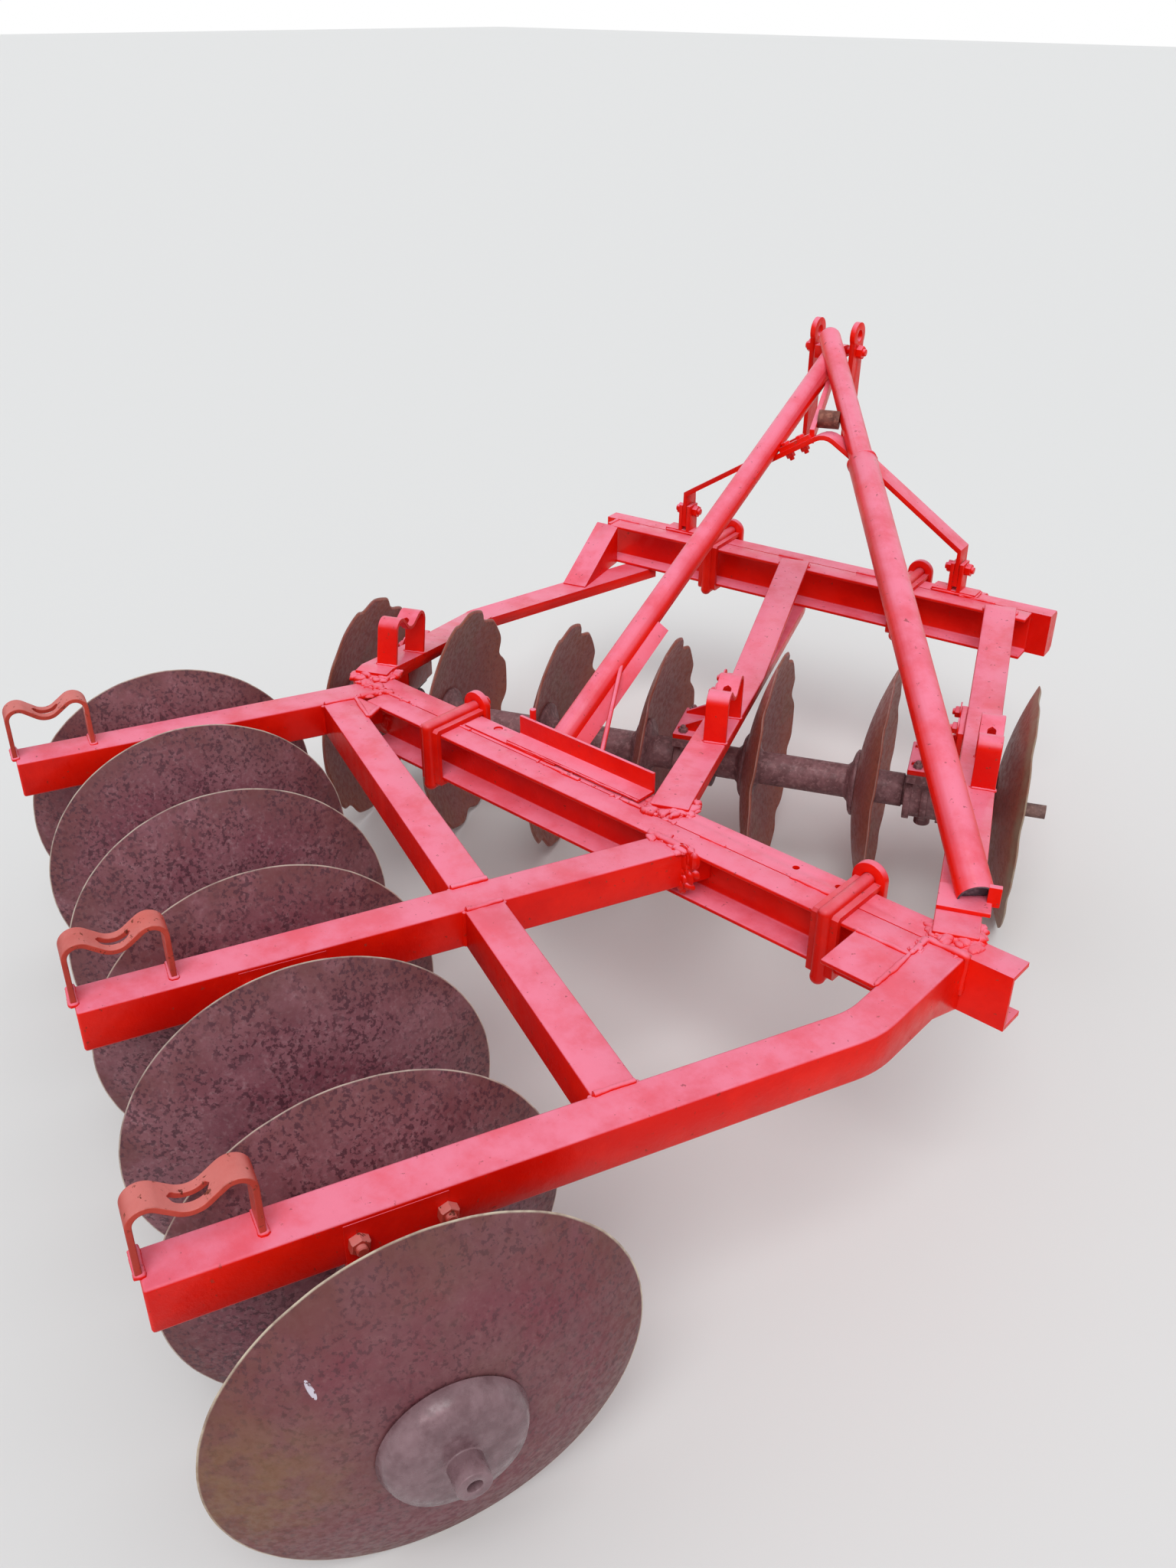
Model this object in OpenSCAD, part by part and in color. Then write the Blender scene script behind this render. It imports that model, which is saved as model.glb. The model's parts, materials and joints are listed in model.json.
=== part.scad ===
// Mounted offset disc harrow: a rear gang of plain discs and a front gang of
// notched discs under a welded frame, with a mast for a three-point linkage.
// Millimetres. X points right along the mid beam, Y points to the tractor and
// Z points up. The origin is on the ground under the middle of the harrow.

/* [Discs] */
// Diameter of a plain rear disc
rear_disc_d = 560; // [480:5:600]
// Diameter of a notched front disc over its tips
front_disc_d = 515; // [440:5:540]
// Thickness of a disc
disc_t = 6; // [4:0.5:8]
// Radius of the sphere that a disc is part of
dish_radius = 620; // [560:10:760]
// Diameter of the flat middle of a disc
disc_flat_d = 150; // [146:2:190]
// Number of notches round a front disc
notch_count = 10; // [8:1:12]
// Depth of a notch
notch_depth = 17; // [8:1:26]
// Radius of a notch
notch_radius = 38; // [30:1:50]

/* [Gangs] */
// Number of discs on each gang
disc_count = 7; // [7:1:7]
// Distance between rear discs
rear_pitch = 256; // [250:1:270]
// Distance between front discs
front_pitch = 238.5; // [232:0.5:250]
// Extra distance before the last front disc
front_last_extra = 45; // [30:1:60]
// Angle of the rear gang to the mid beam
rear_gang_angle = 22.6; // [20:0.1:24]
// Angle of the front gang to the mid beam
front_gang_angle = 24; // [22:0.1:25]
// Side of the square axle
axle_side = 30; // [26:1:34]
// Diameter of the threaded axle ends
axle_thread_d = 29; // [24:1:30]
// Length of the thread past the end washer
axle_thread_l = 62; // [50:1:80]
// Diameter of a spool's tube
spool_d = 72; // [60:1:84]
// Diameter of the flange at a spool's end
flange_d = 142; // [120:2:144]
// Thickness of the flange
flange_t = 16; // [10:1:22]
// Diameter of the domed end washer
end_washer_d = 190; // [150:2:200]

/* [Bearings] */
// Diameter of the turning bearing sleeve
sleeve_d = 64; // [56:1:70]
// Length of a bearing housing along the axle
housing_l = 84; // [70:1:100]
// Outer diameter of a bearing housing
housing_d = 118; // [104:1:126]
// Running clearance in the bearing
bearing_gap = 0.4; // [0.3:0.1:1]
// Height of the housing's top pad above the axle
pad_height = 74; // [66:1:84]
// Length of the pad across the axle
pad_l = 130; // [110:2:140]
// Thickness of the hanger plates
hanger_t = 12; // [8:1:16]

/* [Frame] */
// Height of the frame's top above the ground
frame_top = 500; // [490:1:520]
// Height of the beam channels
channel_h = 100; // [90:1:110]
// Flange width of the beam channels
channel_b = 51; // [45:1:56]
// Web thickness of the beam channels
channel_web = 6; // [5:0.5:8]
// Flange thickness of the beam channels
channel_flange = 8.5; // [7:0.5:11]
// Left end of the mid beam's front channel
mid_left = -750; // [-780:5:-740]
// Right end of the mid beam's front channel
mid_right = 718; // [700:1:760]
// Angle of the front beam to the mid beam
front_beam_angle = 8.3; // [7:0.1:9]
// Middle of the hitch along the mid beam
hitch_x = -416; // [-430:1:-400]
// Distance from the mid beam to the hitch's middle
hitch_y = 1189; // [1180:1:1200]
// Half the length of the hitch box
hitch_half = 600; // [590:1:640]
// Left end of the front beam's rear channel from the hitch's middle
front_rear_left = -565; // [-580:1:-550]
// Right end of the front beam's rear channel from the hitch's middle
front_rear_right = 556; // [550:1:580]

/* [Rear arms] */
// Width of an arm
arm_w = 65; // [55:1:70]
// Height of an arm
arm_h = 70; // [60:1:80]
// Distance from the rear gang's axis to an arm's end
arm_tail = 288; // [280:1:300]
// Sideways distance from a bearing to its rear arm
rear_arm_shift = 62; // [58:1:66]
// Distance from the rear gang's axis to the cross brace
brace_y = 317; // [300:1:330]
// Width of the cross brace
brace_w = 66; // [50:1:72]

/* [Front arms] */
// Width of a front arm
front_arm_w = 70; // [60:1:72]
// Thickness of a front arm's bar
front_arm_t = 26; // [20:1:28]
// Sideways distance from a bearing to its front arm
front_arm_shift = 92; // [88:1:94]
// How much a front arm has dropped at the gang's axis
front_arm_drop = 48; // [42:1:54]
// Distance past the gang's axis where the sloping plate leaves the bar
front_arm_bend = 110; // [100:1:130]
// Thickness of the plates that rise to the front beam
riser_t = 12; // [8:1:14]

/* [Saddles] */
// Width of a saddle bracket
saddle_w = 44; // [34:1:50]
// Thickness of a saddle bracket
saddle_t = 8; // [6:1:10]
// Height of a saddle bracket
saddle_h = 118; // [100:1:124]
// Length of a saddle bracket
saddle_l = 140; // [130:1:146]
// Depth of the dip between the humps
saddle_dip = 66; // [50:1:74]
// Width of the slot in the dip
saddle_slot = 15; // [10:1:20]

/* [Clamps] */
// Width of a beam clamp
clamp_w = 48; // [40:1:56]
// Thickness of a beam clamp's strap
clamp_t = 10; // [8:1:14]
// Diameter of the rib round a beam clamp
clamp_rib_d = 24; // [18:1:28]
// Distance from the mid beam's middle to the left clamp
mid_clamp_left = 455; // [440:1:465]
// Distance from the mid beam's middle to the right clamp
mid_clamp_right = 436; // [430:1:445]
// Distance from the hitch's middle to a front clamp
front_clamp_x = 258; // [250:1:270]

/* [Mast] */
// Height of the top-link hole above the lower pins
mast_height = 610; // [600:1:620]
// Distance between the mast straps at the top link
top_link_gap = 86; // [80:1:92]
// Diameter of the top-link hole
top_link_bore = 25.7; // [25.4:0.1:26.2]
// Diameter of a lower link pin
lower_pin_d = 28; // [27:0.1:28.6]
// Length of a lower link pin outside its plate
lower_pin_l = 62; // [56:1:80]
// Distance between the shoulders of the lower pins
lower_pin_spread = 825; // [815:1:840]
// Height of the lower pins above the ground
lower_pin_z = 440; // [430:1:450]
// Distance from the front beam's seam to the lower pins
lower_pin_y = 112; // [105:1:125]
// Outer diameter of the mast tubes
stay_d = 48.3; // [42:0.1:52]
// Outer diameter of the right stay's lower sleeve
sleeve_tube_d = 60.3; // [56:0.1:66]
// Wall of the mast tubes
stay_wall = 4; // [3:0.5:5]
// Width of a mast strap
strap_w = 50; // [44:1:60]
// Thickness of a mast strap
strap_t = 12; // [10:1:14]
// Distance from the hitch's middle to a strap's foot
strap_foot = 366; // [360:1:375]

/* [Hidden] */
$fn = 48;
tiny = 0.01;
arm_gaps = [0, 3, 5];
mid = (disc_count - 1) / 2;
rear_r = rear_disc_d / 2;
front_r = front_disc_d / 2;
// Places of the gangs' middles, on the ground plan
rear_gang = [-188, -639];
front_gang = [-385, 513];
// Middle of the machine's outline, seen from the mid beam's middle
middle = [-192.046, 111.579];
// Fits
hole_gap = 0.3;
run_gap = 5;
// Channels and plates
box_chamfer = 9;
plate_t = 8;
beam_holes = [324, 405];
beam_hole_d = 12;
corner_l = 90;
overhang_w = 92;
overhang_l = 98;
// Rear arms
bend_r = 150;
root_bend_y = -225;
root_gusset_l = 80;
// Front arms
lap_t = 12;
lap_l = 30;
hitch_lap = 22;
under_l = 45;
left_bend_y = 279;
left_end_x = -873;
left_end_y = 1108;
leg_w = 62;
leg_foot = [-912, 859];
leg_head = [-971, 1057];
// Saddles
hump_r = 22;
dip_r = 25;
saddle_slot_half = 14;
front_saddle_y = [-262, -335, -335];
// Clamps
leg_over = 12;
clamp_reach = 34;
clamp_plate_w = 60;
clamp_plate_t = 14;
// Mast: bolts, lug and straps, heights above the frame's top
bolt_d = 16;
nut_d = 30;
nut_t = 13;
apex_y = channel_b / 2;
top_z = lower_pin_z + mast_height - frame_top;
bolt_z = top_z - 36;
lug_w = 60;
lug_r = 14;
lug_back = 52;
strap_foot_z = 20;
strap_bend_z = 105;
strap_upper_z = 308;
clevis_t = 9;
clevis_l = 106;
clevis_h = 75;
clevis_hole_z = 58;
// Stays: their ends on their axes. Feet rise from the frame's top, heads from
// the apex bolt
left_foot_rise = 5;
right_foot_rise = 18;
left_head_rise = 3;
right_head_rise = 34;
left_foot = [-240, 80, frame_top + left_foot_rise];
left_head = [-385, 1150, frame_top + bolt_z + left_head_rise];
right_foot = [592, 122, frame_top + right_foot_rise];
right_head = [-405, 1160, frame_top + bolt_z + right_head_rise];
sleeve_share = 0.705;
open_end_l = 130;
stiffener_l = 330;
stiffener_w = 42;
stiffener_h = 20;
foot_plate_t = 8;
foot_plate_l = 74;
foot_over = 12;
// Yoke
yoke_left_share = 0.738;
yoke_right_share = 0.7495;
yoke_w = 40;
yoke_t = 10;
yoke_slope = 32;
yoke_drop = 48;
yoke_joint = [-358, 1100, frame_top + bolt_z - yoke_drop];
pin_d = 38;
pin_rise = 13;
pin_along = 50;
pin_l = 45;
// Rod, angle iron and plate on the mid beam
rod_d = 9;
rod_share = 0.2;
rod_x = -118;
angle_left = -314;
angle_right = 10;
angle_b = 43;
angle_h = 42;
angle_t = 6;
beam_plate_left = -424;
beam_plate_t = 4;
// Lower link ears
ear_t = 20;
ear_r = 34;
// Bearings and gang ends
pad_t = 20;
rib_t = 14;
washer_d = 116;
washer_t = 12;
end_nut_d = 54;
end_nut_t = 26;
dome_cavity = 40;
rim_bevel = 7;

// Place of disc i along its gang, from the gang's middle
function rear_at(i) = (i - mid) * rear_pitch;
function front_at(i) = (i - mid) * front_pitch
    + (i == disc_count - 1 ? front_last_extra : 0);
function rear_bearing_at(i) = (rear_at(i) + rear_at(i + 1)) / 2;
function front_bearing_at(i) = (front_at(i) + front_at(i + 1)) / 2;
function rear_arm_at(i) = rear_bearing_at(i) - rear_arm_shift;
function front_arm_at(i) = front_bearing_at(i) + front_arm_shift;

// Axial depth of the dish at radius r, from the flat middle
function dish(r) = sqrt(pow(dish_radius, 2) - pow(disc_flat_d / 2, 2))
    - sqrt(pow(dish_radius, 2) - r * r);

// Turns a plan vector by an angle
function turned(p, a) = [p.x * cos(a) - p.y * sin(a), p.x * sin(a) + p.y * cos(a)];
// World plan places of points given in a gang's own frame
function rear_world(p) = rear_gang + turned(p, -rear_gang_angle);
function front_world(p) = front_gang + turned(p, front_gang_angle);
function front_local(p) = turned(p - front_gang, -front_gang_angle);

// Outline of a strip of width w round a centre line of points
function unit(v) = v / norm(v);
function tangent(c, i) = unit(c[min(i + 1, len(c) - 1)] - c[max(i - 1, 0)]);
function side(c, i, w) = [-tangent(c, i).y, tangent(c, i).x] * w / 2;
function strip(c, w) = concat(
    [for (i = [0:len(c) - 1]) c[i] + side(c, i, w)],
    [for (i = [len(c) - 1:-1:0]) c[i] - side(c, i, w)]);
// Points of an arc, angles measured from the X axis
function arc(o, r, a0, a1, n) =
    [for (k = [0:n]) o + r * [cos(a0 + (a1 - a0) * k / n), sin(a0 + (a1 - a0) * k / n)]];

// Everything is drawn from the mid beam's middle; this puts the origin
// under the middle of the whole machine
module machine() {
    translate([-middle.x, -middle.y, 0]) children();
}

module at_rear() {
    machine()
        translate([rear_gang.x, rear_gang.y, rear_r])
            rotate([0, 0, -rear_gang_angle]) children();
}

module at_front() {
    machine()
        translate([front_gang.x, front_gang.y, front_r])
            rotate([0, 0, front_gang_angle]) children();
}

// Frame of the mid beam: seam at y = 0, top at z = 0
module at_mid() {
    machine() translate([0, 0, frame_top]) children();
}

// Frame of the front beam: seam at y = 0, top at z = 0
module at_hitch() {
    machine()
        translate([hitch_x, hitch_y, frame_top])
            rotate([0, 0, front_beam_angle]) children();
}

// Puts the Z axis on the line from p towards q
module aimed(p, q) {
    v = q - p;
    translate(p) rotate([0, acos(v.z / norm(v)), atan2(v.y, v.x)]) children();
}

module rod(p, q, d) {
    aimed(p, q) cylinder(h = norm(q - p), d = d);
}

// Turned about the X axis: points are [radius, x]
module turned_on_x(points) {
    rotate([0, 90, 0]) rotate_extrude($fn = 64) polygon(points);
}

// Extrudes a shape drawn in the YZ plane along X, from x0 to x1
module along_x(x0, x1) {
    translate([x0, 0, 0])
        rotate([90, 0, 90])
            linear_extrude(x1 - x0) children();
}

// Channel with its web at y = 0, its flanges towards sense, and its top at z = 0
module channel_outline(sense) {
    y = sense * channel_b;
    w = sense * channel_web;
    f = channel_flange;
    h = channel_h;
    polygon([[0, 0], [y, 0], [y, -f], [w, -f], [w, f - h], [y, f - h], [y, -h], [0, -h]]);
}

// Plan places where a rear arm's centre line crosses a line along the mid beam
function rear_reach(i, y) = let (p = rear_world([rear_arm_at(i), 0]))
    [p.x + tan(rear_gang_angle) * (y - p.y), y];
half_w = arm_w / 2;
skew_w = half_w / cos(rear_gang_angle);
mid_rear_left = rear_reach(0, 0).x + skew_w;
bend_at = rear_reach(5, root_bend_y);

module mid_channel_front() {
    along_x(mid_left, mid_right) channel_outline(1);
}

module mid_channel_rear() {
    along_x(mid_rear_left, bend_at.x - half_w) channel_outline(-1);
}

module mid_beam_front() {
    color("firebrick")
        at_mid()
            difference() {
                mid_channel_front();
                for (x = beam_holes)
                    translate([x, channel_b * 0.55, -channel_h / 2])
                        cylinder(h = channel_h, d = beam_hole_d);
            }
}

module mid_beam_rear() {
    color("firebrick") at_mid() mid_channel_rear();
}

module front_beam_rear() {
    color("firebrick")
        at_hitch()
            along_x(front_rear_left, front_rear_right) channel_outline(-1);
}

module hitch_box() {
    c = box_chamfer;
    b = channel_b;
    h = channel_h;
    color("firebrick")
        at_hitch()
            along_x(-hitch_half, hitch_half)
                polygon([[0, 0], [b - c, 0], [b, -c], [b, c - h], [b - c, -h], [0, -h]]);
}

// Rear arms

module arm_solid(line) {
    translate([0, 0, -arm_h]) linear_extrude(arm_h) polygon(strip(line, arm_w));
}

// Straight rear arm, cut where it meets the mid beam
module straight_rear_arm(i, cut_y) {
    difference() {
        arm_solid([rear_world([rear_arm_at(i), -arm_tail]), rear_reach(i, channel_b)]);
        translate([2 * mid_left, cut_y, -2 * channel_h])
            cube([-4 * mid_left, 4 * channel_b, 4 * channel_h]);
        mid_channel_rear();
    }
}

module rear_arm_left() {
    color("firebrick") at_mid() straight_rear_arm(0, 0);
}

module rear_arm_middle() {
    color("firebrick") at_mid() straight_rear_arm(3, -channel_web);
}

// Right arm: bends to meet the mid beam squarely, with a gusset below its root
module rear_arm_right() {
    lead = bend_r * tan(rear_gang_angle / 2);
    o = [bend_at.x - bend_r, bend_at.y + lead];
    color("firebrick")
        at_mid() {
            arm_solid(concat(
                [rear_world([rear_arm_at(5), -arm_tail])],
                arc(o, bend_r, -rear_gang_angle, 0, 6),
                [[bend_at.x, 0]]));
            along_x(bend_at.x - half_w, bend_at.x + half_w)
                polygon([[0, -arm_h], [-root_gusset_l, -arm_h], [0, -channel_h]]);
        }
}

// Cross brace: one piece each side of the middle arm
module brace_part(i, j) {
    x0 = rear_arm_at(i) + half_w;
    x1 = rear_arm_at(j) - half_w;
    translate([x0, brace_y - brace_w / 2, frame_top - rear_r - arm_h])
        cube([x1 - x0, brace_w, arm_h]);
}

module cross_brace() {
    color("firebrick")
        at_rear() {
            brace_part(0, 3);
            brace_part(3, 5);
        }
}

// Filler between the left arm, the brace and the mid beam
module corner_plate() {
    front = brace_y + brace_w / 2;
    edge = rear_arm_at(0) + half_w;
    a = rear_world([edge, front]);
    b = rear_world([edge + corner_l, front]);
    c = [b.x - corner_l / 5, -channel_b];
    d = [rear_reach(0, -channel_b).x + skew_w, -channel_b];
    color("firebrick")
        at_mid()
            translate([0, 0, -plate_t]) linear_extrude(plate_t) polygon([a, b, c, d]);
}

module overhang_plate() {
    x1 = bend_at.x - half_w;
    color("firebrick")
        at_mid()
            translate([x1 - overhang_w, -channel_b - overhang_l, -plate_t])
                cube([overhang_w, overhang_l, plate_t]);
}

// Front arms

// Distance along a front arm, from the gang's axis to the beams
function mid_meet(i) =
    (channel_b - front_world([front_arm_at(i), 0]).y) / cos(front_gang_angle);
function hitch_meet(i) = let (
    p = turned(front_world([front_arm_at(i), 0]) - [hitch_x, hitch_y], -front_beam_angle))
    (-channel_b - p.y) / cos(front_gang_angle - front_beam_angle);
front_skew = front_arm_w / 2 * tan(front_gang_angle) + 2;
end_skew = front_arm_w / 2 * tan(front_gang_angle - front_beam_angle) + 2;
front_top = frame_top - front_r;
front_low = frame_top - channel_h - front_r;
front_arm_top = front_top - front_arm_drop;
function mid_slope(i) = (front_arm_drop + lap_t) / -mid_meet(i);

// Outer envelopes of the two beams, to trim what meets them
module mid_envelope() {
    at_mid()
        translate([2 * mid_left, -channel_b, -channel_h])
            cube([-4 * mid_left, 2 * channel_b, channel_h]);
}

module front_envelope() {
    at_hitch()
        translate([-2 * hitch_half, -channel_b, -channel_h])
            cube([4 * hitch_half, 2 * channel_b, channel_h]);
}

// Side view of a bar: lapped on the mid beam, down past the axle to point [y, z]
module bar_profile(i, y1, z1) {
    y0 = mid_meet(i);
    t = front_arm_t;
    polygon([
        [y0 - lap_l, front_top], [y0 - lap_l, front_top + lap_t], [y0, front_top + lap_t],
        [0, front_arm_top], [y1, z1], [y1, z1 - t], [0, front_arm_top - t],
        [y0 - front_skew, front_top + lap_t - t], [y0 - front_skew, front_top]]);
}

// Whole front arm from the side: the bar goes on under the front beam, and a
// sloping plate rises from its top to the beam's top
module arm_profile(i) {
    y0 = mid_meet(i);
    y1 = hitch_meet(i) - end_skew;
    t = front_arm_t;
    a = front_arm_bend;
    fall = (front_arm_top - front_low) / y1;
    rise = (front_top - (front_arm_top - fall * a)) / (y1 - a);
    b = a - riser_t / (fall + rise);
    polygon([
        [y0 - lap_l, front_top], [y0 - lap_l, front_top + lap_t], [y0, front_top + lap_t],
        [0, front_arm_top], [b, front_arm_top - fall * b],
        [y1, front_top + riser_t], [y1 + end_skew + hitch_lap, front_top + riser_t],
        [y1 + end_skew + hitch_lap, front_top], [y1, front_top],
        [a, front_arm_top - fall * a],
        [y1, front_low], [y1 + end_skew + under_l, front_low], [y1 + end_skew + under_l - t, front_low - t],
        [y1, front_low - t], [0, front_arm_top - t],
        [y0 - front_skew, front_top + lap_t - t], [y0 - front_skew, front_top]]);
}

module front_arm(i) {
    difference() {
        at_front()
            along_x(front_arm_at(i) - front_arm_w / 2, front_arm_at(i) + front_arm_w / 2)
                arm_profile(i);
        mid_envelope();
        front_envelope();
    }
}

module front_arm_middle() {
    color("firebrick") front_arm(3);
}

module front_arm_right() {
    color("firebrick") front_arm(5);
}

// Left arm: turns at its low end to pass under the front beam, with a leg
// and a gusset up to the front beam's left end
module front_arm_left() {
    x = front_arm_at(0);
    corner = front_world([x, left_bend_y]);
    finish = [left_end_x, left_end_y];
    t = front_arm_t;
    low = -channel_h;
    color("firebrick")
        difference() {
            union() {
                at_front()
                    along_x(x - front_arm_w / 2, x + front_arm_w / 2)
                        bar_profile(0, left_bend_y, front_low);
                at_mid() {
                    translate([0, 0, low - t])
                        linear_extrude(t) polygon(strip([corner, finish], front_arm_w));
                    translate([corner.x, corner.y, low - t])
                        cylinder(h = t, d = front_arm_w);
                }
                left_leg();
            }
            mid_envelope();
            front_envelope();
        }
}

module left_leg() {
    foot = leg_foot;
    head = leg_head;
    run = norm(head - foot);
    at_mid()
        translate([foot.x, foot.y, -channel_h])
            rotate([0, 0, atan2(head.y - foot.y, head.x - foot.x) - 90]) {
                along_x(-leg_w / 2, leg_w / 2)
                    polygon([
                        [0, 0], [0, 3], [run, channel_h], [run + 60, channel_h],
                        [run + 60, channel_h - riser_t], [run, channel_h - riser_t],
                        [2.5 * riser_t, 0]]);
                along_x(leg_w / 2 - plate_t, leg_w / 2)
                    polygon([[20, 0], [run, channel_h - 8], [run + 60, channel_h - 8], [run + 60, 0]]);
            }
}

// Saddle brackets

// Side view of a saddle: two legs, two humps and the dip between them
function saddle_line() = let (
    h = saddle_h - hump_r - saddle_t / 2,
    x0 = saddle_t / 2,
    x1 = saddle_l - saddle_t / 2,
    m = saddle_l / 2,
    low = saddle_h - saddle_dip + dip_r) concat(
    [[x0, 0], [x0, h]],
    arc([x0 + hump_r, h], hump_r, 165, 15, 7),
    arc([m, low], dip_r, 215, 325, 6),
    arc([x1 - hump_r, h], hump_r, 165, 15, 7),
    [[x1, h], [x1, 0]]);

module saddle() {
    z = saddle_h - saddle_dip;
    difference() {
        along_x(-saddle_w / 2, saddle_w / 2) polygon(strip(saddle_line(), saddle_t));
        translate([0, saddle_l / 2 - saddle_slot_half, z - 20])
            cylinder(h = 60, d = saddle_slot);
        translate([0, saddle_l / 2 + saddle_slot_half, z - 20])
            cylinder(h = 60, d = saddle_slot);
        translate([-saddle_slot / 2, saddle_l / 2 - saddle_slot_half, z - 20])
            cube([saddle_slot, 2 * saddle_slot_half, 60]);
    }
}

module saddles_rear() {
    color("firebrick")
        at_rear()
            for (i = arm_gaps)
                translate([rear_arm_at(i) - (arm_w - saddle_w) / 2, -arm_tail, frame_top - rear_r])
                    saddle();
}

module saddles_front() {
    color("firebrick")
        at_front()
            for (k = [0:2]) {
                i = arm_gaps[k];
                y = front_saddle_y[k];
                x = front_arm_at(i) + (front_arm_w - saddle_w) / 2;
                translate([x, y, front_arm_top - mid_slope(i) * y])
                    rotate([-atan(mid_slope(i)), 0, 0]) saddle();
            }
}

// Clamps round the beams

// Strap behind a beam with legs above and below, and a half-round rib
module beam_clamp() {
    b = channel_b;
    t = clamp_t;
    h = channel_h;
    reach = clamp_reach + b + t;
    difference() {
        union() {
            along_x(-clamp_w / 2, clamp_w / 2)
                polygon([
                    [b + leg_over, t], [-b - t / 2, t], [-b - t, t / 2],
                    [-b - t, -h - t / 2], [-b - t / 2, -h - t], [b + leg_over, -h - t]]);
            for (z = [t, -h - t])
                translate([0, -b - t, z]) rotate([-90, 0, 0]) cylinder(h = reach + b, d = clamp_rib_d);
            translate([0, -b - t, -h - t]) cylinder(h = h + 2 * t, d = clamp_rib_d);
            translate([0, -b - t, -h - t]) sphere(d = clamp_rib_d + 2);
            translate([0, -b - t, t]) sphere(d = clamp_rib_d);
        }
        translate([-clamp_w, -b, -h]) cube([2 * clamp_w, 2 * reach, h]);
    }
}

module clamp_mid_left() {
    color("firebrick") at_mid() translate([-mid_clamp_left, 0, 0]) beam_clamp();
}

module clamp_mid_right() {
    color("firebrick") at_mid() translate([mid_clamp_right, 0, 0]) beam_clamp();
}

module clamp_front_left() {
    color("firebrick") at_hitch() translate([-front_clamp_x, 0, 0]) beam_clamp();
}

module clamp_front_right() {
    color("firebrick") at_hitch() translate([front_clamp_x, 0, 0]) beam_clamp();
}

// Arched plate that the clamp's two rod ends pass through
module clamp_plate() {
    y = channel_b + leg_over;
    z0 = -channel_h - clamp_t;
    difference() {
        union() {
            translate([-clamp_plate_w / 2, y, z0])
                cube([clamp_plate_w, clamp_plate_t, clamp_t - z0]);
            for (z = [z0, clamp_t])
                translate([0, y, z])
                    rotate([-90, 0, 0]) cylinder(h = clamp_plate_t, d = clamp_plate_w);
        }
        for (z = [z0, clamp_t])
            translate([0, y - clamp_plate_t, z])
                rotate([-90, 0, 0])
                    cylinder(h = 3 * clamp_plate_t, d = clamp_rib_d + 2 * hole_gap);
    }
}

module clamp_plates() {
    color("firebrick") {
        at_mid()
            for (x = [-mid_clamp_left, mid_clamp_right])
                translate([x, 0, 0]) clamp_plate();
        at_hitch()
            for (s = [-1, 1])
                translate([s * front_clamp_x, 0, 0]) clamp_plate();
    }
}

// Mast

// Keeps only what stands in front of the mid beam's flange edge
module front_of_mid() {
    difference() {
        children();
        at_mid() translate([2 * mid_left, channel_b - 400, -300]) cube([-4 * mid_left, 400, 600]);
    }
}

// Round stay from the mid beam to the apex, with a channel welded below it
module stay_left() {
    run = norm(left_head - left_foot);
    color("firebrick")
        difference() {
            front_of_mid()
                machine()
                    aimed(left_foot, left_head) {
                        translate([0, 0, -2 * stay_d]) cylinder(h = run + 2 * stay_d, d = stay_d);
                        rotate([0, 0, -45]) translate([0, 0, -2 * stay_d])
                            linear_extrude(stiffener_l + 2 * stay_d) stiffener_outline();
                    }
            right_stay_outer();
        }
}

module stiffener_outline() {
    r = stay_d / 2;
    w = stiffener_w / 2;
    t = stay_wall;
    polygon([
        [r * 0.7, -w], [r + stiffener_h, -w], [r + stiffener_h, w], [r * 0.7, w],
        [r * 0.7, w - t], [r + stiffener_h - t, w - t], [r + stiffener_h - t, t - w],
        [r * 0.7, t - w]]);
}

// Right stay: a wider sleeve below, and a lug for the apex bolt
module right_stay_outer() {
    run = norm(right_head - right_foot);
    machine()
        aimed(right_foot, right_head) {
            cylinder(h = run, d = stay_d);
            translate([0, 0, run]) sphere(d = stay_d);
            cylinder(h = run * sleeve_share, d = sleeve_tube_d);
        }
    at_hitch()
        along_x(-lug_w / 2, lug_w / 2)
            polygon([
                [apex_y + lug_r, bolt_z - lug_r], [apex_y + lug_r, bolt_z + lug_r * 0.6],
                [apex_y - lug_r * 0.4, bolt_z + lug_r], [apex_y - lug_back, bolt_z + lug_r],
                [apex_y - lug_back, bolt_z - lug_r]]);
}

module stay_right() {
    color("firebrick")
        difference() {
            right_stay_outer();
            machine()
                aimed(right_foot, right_head)
                    translate([0, 0, -1])
                        cylinder(h = open_end_l, d = sleeve_tube_d - 2 * stay_wall);
            at_hitch()
                translate([-lug_w, apex_y, bolt_z])
                    rotate([0, 90, 0]) cylinder(h = 2 * lug_w, d = bolt_d + 2 * hole_gap);
            foot_plane();
        }
}

// Sloping top of the right front arm with its foot plate, as a cut
module foot_plane() {
    s = mid_slope(5);
    at_front()
        translate([front_arm_at(5) - 200, 0, front_arm_top])
            rotate([-atan(s), 0, 0])
                translate([0, -1200, foot_plate_t - 200]) cube([400, 1300, 200]);
}

module stay_foot() {
    s = mid_slope(5);
    p = front_local([right_foot.x, right_foot.y]);
    color("firebrick")
        at_front()
            translate([front_arm_at(5), 0, front_arm_top])
                rotate([-atan(s), 0, 0])
                    translate([-front_arm_w / 2, p.y / cos(atan(s)) - foot_plate_l / 2, 0])
                        cube([front_arm_w + foot_over, foot_plate_l, foot_plate_t]);
}

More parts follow.
